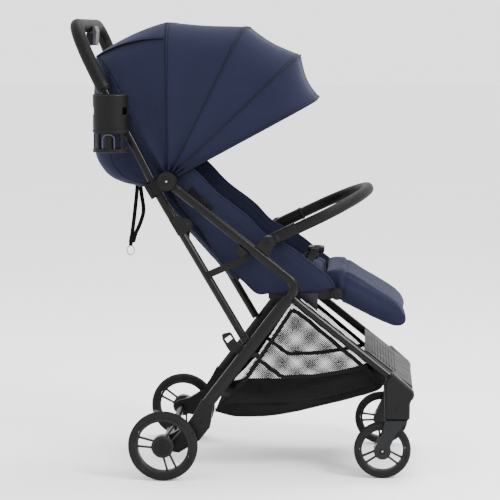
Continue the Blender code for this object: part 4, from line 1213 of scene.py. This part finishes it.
# ---- grips ---------------------------------------------------------------------------------
def make_handle():
    bend, corner = 0.045, PUSH_Y - 0.045
    rise = (HANDLE_TOP[0] - HANDLE_BEND[0], HANDLE_TOP[1] - HANDLE_BEND[1])
    turn = heading(PUSH_TOP, HANDLE_BEND)
    collar_end = along(PUSH_TOP, turn, 0.020)
    half = [(collar_end[0], PUSH_Y, collar_end[1]), (HANDLE_BEND[0], PUSH_Y, HANDLE_BEND[1])]
    for i in range(1, 11):
        a = (pi / 2) * i / 10
        up = 0.35 + 0.65 * sin(a)
        half.append((HANDLE_BEND[0] + rise[0] * up, corner + bend * cos(a), HANDLE_BEND[1] + rise[1] * up))
    half.append((HANDLE_TOP[0], 0.06, HANDLE_TOP[1]))
    points = [at(x, -y, z) for x, y, z in half] + [at(HANDLE_TOP[0], 0, HANDLE_TOP[1])]
    points += [at(x, y, z) for x, y, z in reversed(half)]
    path = resampled(curve_points(points, 6), 150)
    obj = sweep("handle_cover", path, oval(GRIP_RADIUS, GRIP_RADIUS * 0.98, 32), grip, "push_frame",
                side=(1, 0, 0.4), dome=0.001)
    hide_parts("handle_grip")
    # the sewn seam runs along the inside of the loop
    middle = at(HANDLE_TOP[0] + 0.02, 0, 0.88)
    line = []
    for i, p in enumerate(path):
        ahead = (path[min(i + 1, len(path) - 1)] - path[max(i - 1, 0)]).normalized()
        inward = middle - p
        inward = (inward - ahead * inward.dot(ahead)).normalized()
        line.append(p + inward * (GRIP_RADIUS * 0.98))
    line, path = line[3:-3], path[3:-3]
    sweep("handle_seam", line, oval(0.0011, 0.0008, 8), grip, "push_frame", side=(1, 0, 0))
    stitches("handle_stitches", [p + (p - q).normalized() * 0.0006 for p, q in zip(line, path)],
             0.0060, 0.0036, 0.0005, stitch_thread, "push_frame")
    for side, sign in SIDES:
        parts = []
        # a moulded collar between tube and cover, in two steps
        for low, high, radius in ((0.0014, 0.0215, 0.0156), (0.0045, 0.0120, 0.0164)):
            a, b = along(PUSH_TOP, turn, low), along(PUSH_TOP, turn, high)
            line = resampled([at(a[0], sign * PUSH_Y, a[1]), at(b[0], sign * PUSH_Y, b[1])], 7)
            parts.append(sweep_mesh(line, oval(radius, radius, 32), (0, 1, 0),
                                    scale=lambda t: 1.0 - 0.07 * abs(2 * t - 1) ** 4))
        gathered(f"handle_collar_{side}", parts, plastic_black, "push_frame")


def make_bumper():
    straight = 0.105
    bow = BUMPER_REACH - straight

    def point(reach, y):
        x, z = along(BUMPER_PIVOT, BUMPER_ANGLE, reach)
        return at(x, y, z)

    line = [point(0.060, -BUMPER_Y)]
    for i in range(25):
        turn = pi * i / 24
        line.append(point(straight + bow * sin(turn), -BUMPER_Y * cos(turn)))
    line.append(point(0.060, BUMPER_Y))
    path = resampled(curve_points(line, 5), 120)
    normal = Vector((-sin(BUMPER_ANGLE), 0, cos(BUMPER_ANGLE)))
    obj = sweep("bumper_cover", path, oval(0.0122, 0.0122, 32, 2.2), grip, "bumper",
                side=normal, dome=0.001)
    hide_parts("bumper_bar")
    centre = point(0.10, 0.0)
    line, thread = [], []
    for i, p in enumerate(path):
        ahead = (path[min(i + 1, len(path) - 1)] - path[max(i - 1, 0)]).normalized()
        inward = (ahead.cross(normal)).normalized()
        if inward.dot(centre - p) < 0:
            inward.negate()
        low = (inward * 0.45 - normal * 0.89).normalized()
        line.append(p + low * 0.0119)
        thread.append(p + low * 0.0128)
    sweep("bumper_seam", line[3:-3], oval(0.0010, 0.0007, 8), grip, "bumper",
          side=(0, 0, 1))
    stitches("bumper_stitches", thread[3:-3], 0.0060, 0.0036, 0.0005, stitch_thread, "bumper")
    for side, sign in SIDES:
        parts = []
        sock = resampled([point(-0.004, sign * BUMPER_Y), point(0.064, sign * BUMPER_Y)], 12)
        parts.append(sweep_mesh(sock, oval(0.0130, 0.0137, 32, 2.6), (0, 1, 0),
                                scale=lambda t: 0.90 + 0.10 * smooth_step(t, 0.0, 0.35), dome=0.003))
        ring = resampled([point(0.0585, sign * BUMPER_Y), point(0.0665, sign * BUMPER_Y)], 5)
        parts.append(sweep_mesh(ring, oval(0.0140, 0.0146, 32, 2.4), (0, 1, 0),
                                scale=lambda t: 1.0 - 0.05 * abs(2 * t - 1) ** 3))
        gathered(f"bumper_socket_{side}", parts, plastic_black, "bumper")
        x, z = along(BUMPER_PIVOT, BUMPER_ANGLE, 0.018)
        profile = disc_profile(0.0074, sign * (BUMPER_Y + 0.0110), sign * (BUMPER_Y + 0.0145), 0.001)
        button = lathe_mesh(profile, at(x, 0, z), "Y", 28, False)
        gathered(f"bumper_button_{side}", [button], plastic_slate, "bumper", "plastic_black")


# ---- wheels --------------------------------------------------------------------------------
def make_wheel(end, side, sign, centre, radius, half, first_spoke, body):
    x, y, z = centre
    middle = at(x, y, z)
    bead = 0.80 * radius
    tread = []
    # round shoulders and three shallow grooves round the running surface
    for i in range(25):
        t = -1 + 2 * i / 24
        across = t * half * 0.97
        r = radius * (1 - 0.055 * abs(t) ** 3.2)
        for groove in (-0.45, 0.0, 0.45):
            r -= 0.0011 * exp(-((t - groove) / 0.07) ** 2)
        tread.append((r, across))
    wall = [(radius * 0.905, half * 1.0), (radius * 0.865, half * 0.99), (bead + 0.0012, half * 0.93),
            (bead, half * 0.90)]
    profile = [(r, -a) for r, a in reversed(wall)] + tread + wall
    parts = [lathe_mesh(profile, middle, "Y", 96)]
    obj = gathered(f"{end}_tyre_cover_{side}", parts, tyre, body)
    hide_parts(f"{end}_tyre_{side}")

    inner = 0.72 * radius
    lip = half * 0.93
    outer = bead - 0.0003
    band = [(outer, -lip), (outer, lip), (outer - 0.0018, lip + 0.0006), (inner + 0.0016, lip),
            (inner, lip - 0.0018), (inner + 0.0012, 0.0), (inner, -lip + 0.0018), (inner + 0.0016, -lip),
            (outer - 0.0018, -lip - 0.0006)]
    parts = [lathe_mesh(band, middle, "Y", 72)]
    hub_out = half + (0.003 if end == "rear" else 0.0)
    hub_r = (0.32 if end == "rear" else 0.29) * radius
    bore = 0.0068 if end == "rear" else 0.0052
    far = -half * 0.98
    hub = [(r, across * sign) for r, across in
           ((bore, far), (hub_r * 0.92, far), (hub_r, far + 0.0015), (hub_r, hub_out - 0.0022),
            (hub_r * 0.93, hub_out - 0.0006), (hub_r * 0.80, hub_out), (bore, hub_out))]
    parts.append(lathe_mesh(hub, middle, "Y", 48))
    spread = radius / REAR_AXLE.z
    for turn in (first_spoke, first_spoke + 120, first_spoke + 240):
        for out in (-1, 1):
            a = radians(turn)
            way, across = Vector((cos(a), 0, sin(a))), Vector((-sin(a), 0, cos(a)))
            line = [middle + way * (r * radius) + across * out * spread * (0.0068 + 0.0034 * (r - 0.22) / 0.5)
                    for r in (0.22, 0.35, 0.50, 0.65, 0.735)]
            parts.append(sweep_mesh(line, oval(0.0060, 0.0021, 16, 3.0), (0, 1, 0),
                                    scale=lambda t: 1.0 + 0.30 * (2 * t - 1) ** 4))
    obj = gathered(f"{end}_rim_detail_{side}", parts, rim_plastic, body)
    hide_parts(f"{end}_rim_{side}")
    if end == "rear":
        cap = disc_profile(hub_r * 0.74, sign * (hub_out - 0.001), sign * (hub_out + 0.0014), 0.0012)
        gathered(f"rear_cap_{side}", [lathe_mesh(cap, middle, "Y", 48, False)], plastic_black, body)
        ring = [middle + Vector((hub_r * 0.50 * cos(2 * pi * i / 40), sign * (hub_out + 0.0013),
                                 hub_r * 0.50 * sin(2 * pi * i / 40))) for i in range(40)]
        sweep(f"rear_cap_ring_{side}", ring, oval(0.0009, 0.0006, 8), rim_plastic, body,
              side=(0, 1, 0), closed=True)


def make_wheels():
    for side, sign in SIDES:
        near = side == "right"
        rear = (REAR_AXLE.x, sign * REAR_WHEEL_Y, REAR_AXLE.z)
        front = (FRONT_AXLE[0], sign * FRONT_WHEEL_Y, FRONT_AXLE[1])
        make_wheel("rear", side, sign, rear, 0.0762, 0.0110, 50.5 if near else 28.0, f"rear_wheel_{side}")
        make_wheel("front", side, sign, front, 0.0624, 0.0110, 88.5 if near else 58.0, f"front_wheel_{side}")


def rivet(name, x, face, z, sign, radius, height, finish, body, recessed):
    """A domed rivet or bolt head on a face that looks sideways."""
    y0, y1 = sign * (face - 0.0012), sign * (face + height)
    recess = y1 - sign * height * (0.5 if recessed else 0.0)
    profile = [(0.0001, y0), (radius, y0), (radius, y0 + (y1 - y0) * 0.45),
               (radius * 0.86, y0 + (y1 - y0) * 0.80), (radius * 0.55, y1), (radius * 0.50, recess),
               (0.0001, recess)]
    gathered(name, [lathe_mesh(profile, at(x, 0, z), "Y", 28, False)], finish, body)


def make_hardware():
    fork_face = FRONT_WHEEL_Y + 0.0185
    # name, (x, z), outer face, radius, height, finish, body, whether it has a recess
    heads = (
        ("hub_cap", HUB, 0.2185, 0.0150, 0.0012, plastic_black, "root", False),
        ("hub_bolt", HUB, 0.2195, 0.0027, 0.0014, steel, "root", True),
        ("knuckle_rivet", KNUCKLE, 0.1940, 0.0056, 0.0014, tube_black, "push_frame", True),
        ("link_rivet_low", (-0.1370, 0.4497), 0.1940, 0.0046, 0.0014, plastic_black, "root", True),
        ("clip_screw", BUMPER_PIVOT, 0.2125, 0.0100, 0.0014, plastic_black, "root", False),
        ("clip_bolt", BUMPER_PIVOT, 0.2135, 0.0036, 0.0016, plastic_black, "root", True),
        ("bracket_screw", (-0.1560, 0.1280), 0.2135, 0.0036, 0.0010, plastic_black, "root", True),
        ("leg_knob", LEG_REST_HINGE, 0.1575, 0.0090, 0.0016, plastic_black, "root", False),
        ("housing_screw", (0.2700, 0.1560), 0.1930, 0.0040, 0.0010, plastic_black, "front_frame", True),
        ("fork_washer", FRONT_AXLE, fork_face, 0.0066, 0.0012, plastic_black, "caster", False),
        ("fork_bolt", FRONT_AXLE, fork_face + 0.0010, 0.0026, 0.0012, steel, "caster", True),
    )
    for side, sign in SIDES:
        for name, (x, z), face, radius, height, finish, body, recessed in heads:
            held_by = f"caster_{side}" if body == "caster" else body
            rivet(f"{name}_{side}", x, face, z, sign, radius, height, finish, held_by, recessed)
        armrest = heading(HUB, ELBOW)
        ends = along(HUB, armrest, 0.0225), along(HUB, armrest, 0.0330)
        collar = [at(x, sign * SIDE_Y, z) for x, z in ends]
        ring = sweep_mesh(resampled(collar, 6), oval(0.0108, 0.0108, 28), (0, 1, 0),
                          scale=lambda t: 1.0 - 0.06 * abs(2 * t - 1) ** 4)
        gathered(f"armrest_collar_{side}", [ring], plastic_black, "root")


def make_foot_plate():
    """Anti-slip ribs on the tread, and a paler cover along the front face."""
    low, high = Vector((0.272, 0.2235)), Vector((0.209, 0.2735))
    parts = []
    for i in range(9):
        x, z = low.lerp(high, 0.10 + 0.80 * i / 8)
        line = resampled([at(x, -0.128, z + 0.0002), at(x, 0.128, z + 0.0002)], 9)
        parts.append(sweep_mesh(line, oval(0.0012, 0.0011, 12), (1, 0, -0.8), dome=0.0008))
    gathered("foot_ribs", parts, plastic_slate, "front_frame")
    plate = box_mesh((0.3020, -0.140, 0.1750), (0.3045, 0.140, 0.1965))
    cover = gathered("foot_cover", [plate], plastic_grey, "front_frame", smooth=False)
    bevelled(cover, 0.0011, 3)


# ---- tubes ---------------------------------------------------------------------------------
def make_tubes():
    """Smoother skins for the plain tubes, with a slightly squared section."""
    armrest = heading(HUB, ELBOW)
    for side, sign in SIDES:
        start = along(HUB, armrest, 0.0218)
        line = rounded([start, ELBOW, REAR_LEG_TOP], 0.028, 12)
        path = [at(x, sign * SIDE_Y, z) for x, z in line]
        tube = sweep(f"armrest_skin_{side}", path, oval(0.0093, 0.0102, 28, 2.6), tube_black, "root")
        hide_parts(f"armrest_tube_{side}")
        start = along(REAR_LEG_TOP, heading(REAR_LEG_TOP, REAR_LEG_FOOT), 0.0004)
        leg = [at(x, sign * SIDE_Y, z) for x, z in (start, REAR_LEG_FOOT)]
        tube = sweep(f"rear_leg_skin_{side}", resampled(leg, 12), oval(0.0088, 0.0132, 28, 3.0), tube_black,
                     "root")
        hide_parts(f"rear_leg_{side}")
        start = along(PUSH_LINE, heading(STRUT_FOOT, PUSH_BEND), 0.0008)
        line = [start, PUSH_BEND, (-0.3015, 0.7232), PUSH_TOP]
        path = curve_points([at(x, sign * PUSH_Y, z) for x, z in line], 10)
        tube = sweep(f"push_skin_{side}", path, oval(0.0087, 0.0094, 28, 2.6), tube_black, "push_frame")
        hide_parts(f"push_tube_{side}")


def make_cup_holder():
    """A sleeve with a notch and a window, over a cage of posts on a ring."""
    cx, cy, radius, wall = -0.346, -0.2335, 0.0380, 0.0024
    low, high = 0.7160, 0.8375
    columns = 72
    levels = [low, 0.7180, 0.7240, 0.7290, 0.7560, 0.7600, 0.7700, 0.7780, 0.7900, 0.7960, 0.8040, 0.8120,
              0.8180, 0.8260, 0.8340, high]

    def gap(turn, z):
        """Whether the wall is open at this place; turn is in degrees about the axis."""
        if 0.7240 < z < 0.7560:
            return (turn % 45.0) > 10.0 and not 262 < turn < 280
        if 0.7960 < z < 0.8120:
            return 168 < turn < 205 or 318 < turn < 352
        return False

    data = bpy.data.meshes.new("cup_sleeve")
    shape = bmesh.new()
    rows = []
    for z in levels:
        swell = 0.0012 if z > 0.760 else 0.0
        rows.append([shape.verts.new(at(cx + (radius - 0.0012 + swell) * cos(2 * pi * i / columns),
                                        cy + (radius - 0.0012 + swell) * sin(2 * pi * i / columns), z))
                     for i in range(columns)])
    for (za, first), (zb, last) in zip(zip(levels, rows), zip(levels[1:], rows[1:])):
        for i in range(columns):
            j = (i + 1) % columns
            if not gap((i + 0.5) * 360 / columns, (za + zb) / 2):
                shape.faces.new((first[i], first[j], last[j], last[i]))
    loose = [v for v in shape.verts if not v.link_faces]
    bmesh.ops.delete(shape, geom=loose, context="VERTS")
    shape.to_mesh(data)
    shape.free()
    obj = finish_piece("cup_sleeve", data, plastic_black, "push_frame")
    outward = sum(f.normal.dot(f.center - at(cx, cy, 0.78)) for f in obj.data.polygons)
    thickened(obj, wall, -1.0 if outward > 0 else 1.0)
    bevelled(obj, 0.0006, 2, 50)
    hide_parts("cup_holder")
    floor = [(0.0001, low), (radius - 0.0026, low), (radius - 0.0026, low + 0.0025), (0.0150, low + 0.0025),
             (0.0140, low + 0.0018), (0.0001, low + 0.0018)]
    floor = lathe_mesh(floor, at(cx, cy, 0), "Z", 48, False)
    gathered("cup_floor_disc", [floor], plastic_black, "push_frame")
    profiles = (
        [(radius - 0.0030, high - 0.0018), (radius + 0.0004, high - 0.0018), (radius + 0.0008, high),
         (radius - 0.0004, high + 0.0012), (radius - 0.0030, high + 0.0006)],
        [(radius - 0.0005, 0.7585), (radius + 0.0010, 0.7590), (radius + 0.0010, 0.7640),
         (radius - 0.0005, 0.7646)],
        [(radius - 0.0022, 0.7160), (radius + 0.0006, 0.7165), (radius + 0.0006, 0.7232),
         (radius - 0.0022, 0.7236)],
    )
    rings = [lathe_mesh(profile, at(cx, cy, 0), "Z", 72) for profile in profiles]
    gathered("cup_rims", rings, plastic_black, "push_frame")
    frame_line = [(-0.0125, 0.7250), (-0.0125, 0.7480), (-0.0060, 0.7545), (0.0060, 0.7545), (0.0125, 0.7480),
                  (0.0125, 0.7250)]
    path = []
    for p in resampled([Vector((x, z, 0)) for x, z in rounded(frame_line, 0.004, 4)], 30):
        turn = radians(-90) + p.x / radius
        path.append(at(cx + (radius + 0.0004) * cos(turn), cy + (radius + 0.0004) * sin(turn), p.y))
    sweep("cup_spring_frame", path, oval(0.0017, 0.0012, 10, 3.0), plastic_lever, "push_frame",
          side=(0, 1, 0))


# ---- CAD nodes that stay -------------------------------------------------------------------
def dress_nodes():
    finishes = {
        "lower_strut": tube_black, "rear_axle": tube_black, "seat_crossbar": tube_black,
        "front_leg": tube_black,
        "fold_lever": plastic_lever, "brake_pedal": plastic_slate, "foot_plate": plastic_slate,
        "caster_fork": plastic_slate,
    }
    # edge radii; a part that isn't listed keeps its edges
    softer = {"swivel_housing": 0.0024, "foot_plate": 0.0020, "hub_housing": 0.0008, "knuckle": 0.0010,
              "rear_bracket": 0.0016, "caster_fork": 0.0011, "seat_rail": 0.0012, "bumper_clip": 0.0012,
              "brace_link": 0.0010, "latch_hook": 0.0009, "cup_clamp": 0.0015,
              "lower_strut": 0.0006, "canopy_bow": 0.0005}
    for name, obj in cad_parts.items():
        if obj.hide_render:
            continue
        start, _, ending = name.rpartition("_")
        stem = start if ending in ("right", "left", "1", "2", "3", "4") else name
        finish = finishes.get(stem, plastic_black)
        for held in obj.material_slots:
            held.material = finish
        width = softer.get(stem, 0.0)
        if width:
            bevelled(obj, width, 2, 34)


def make_stage():
    data = bpy.data.meshes.new("floor")
    half, level = 30.0, -0.0005
    corners = [(-half, -half, level), (half, -half, level), (half, half, level), (-half, half, level)]
    data.from_pydata(corners, [], [(0, 1, 2, 3)])
    floor = bpy.data.objects.new("floor", data)
    data.materials.append(floor_paint())
    scene.collection.objects.link(floor)
    world = bpy.data.worlds.new("studio")
    scene.world = world
    world.use_nodes = True
    background = world.node_tree.nodes["Background"]
    background.inputs["Color"].default_value = (1.0, 1.0, 1.0, 1.0)
    background.inputs["Strength"].default_value = 2.2
    for name, place, aim, size, power, colour in (
        ("key", (2.2, -1.7, 2.3), (0.0, 0.0, 0.5), 0.9, 120.0, (1.0, 0.99, 0.97)),
        ("fill", (-2.4, -2.2, 1.8), (0.0, 0.0, 0.5), 1.8, 16.0, (0.96, 0.98, 1.0)),
        ("top", (0.4, 0.6, 3.0), (0.0, 0.0, 0.4), 1.2, 70.0, (1.0, 1.0, 1.0)),
    ):
        lamp_data = bpy.data.lights.new(name, "AREA")
        lamp_data.shape = "DISK"
        lamp_data.size = size
        lamp_data.energy = power
        lamp_data.color = colour
        lamp = bpy.data.objects.new(name, lamp_data)
        lamp.location = place
        lamp.rotation_euler = (Vector(aim) - Vector(place)).to_track_quat("-Z", "Y").to_euler()
        scene.collection.objects.link(lamp)


make_canopy()
make_canopy_rear()
make_canopy_flap()
make_seat_sides()
make_seat_pad()
make_backrest()
make_leg_rest()
make_harness()
make_straps()
make_basket()
make_handle()
make_bumper()
make_wheels()
make_tubes()
make_cup_holder()
make_hardware()
make_foot_plate()
dress_nodes()
make_stage()
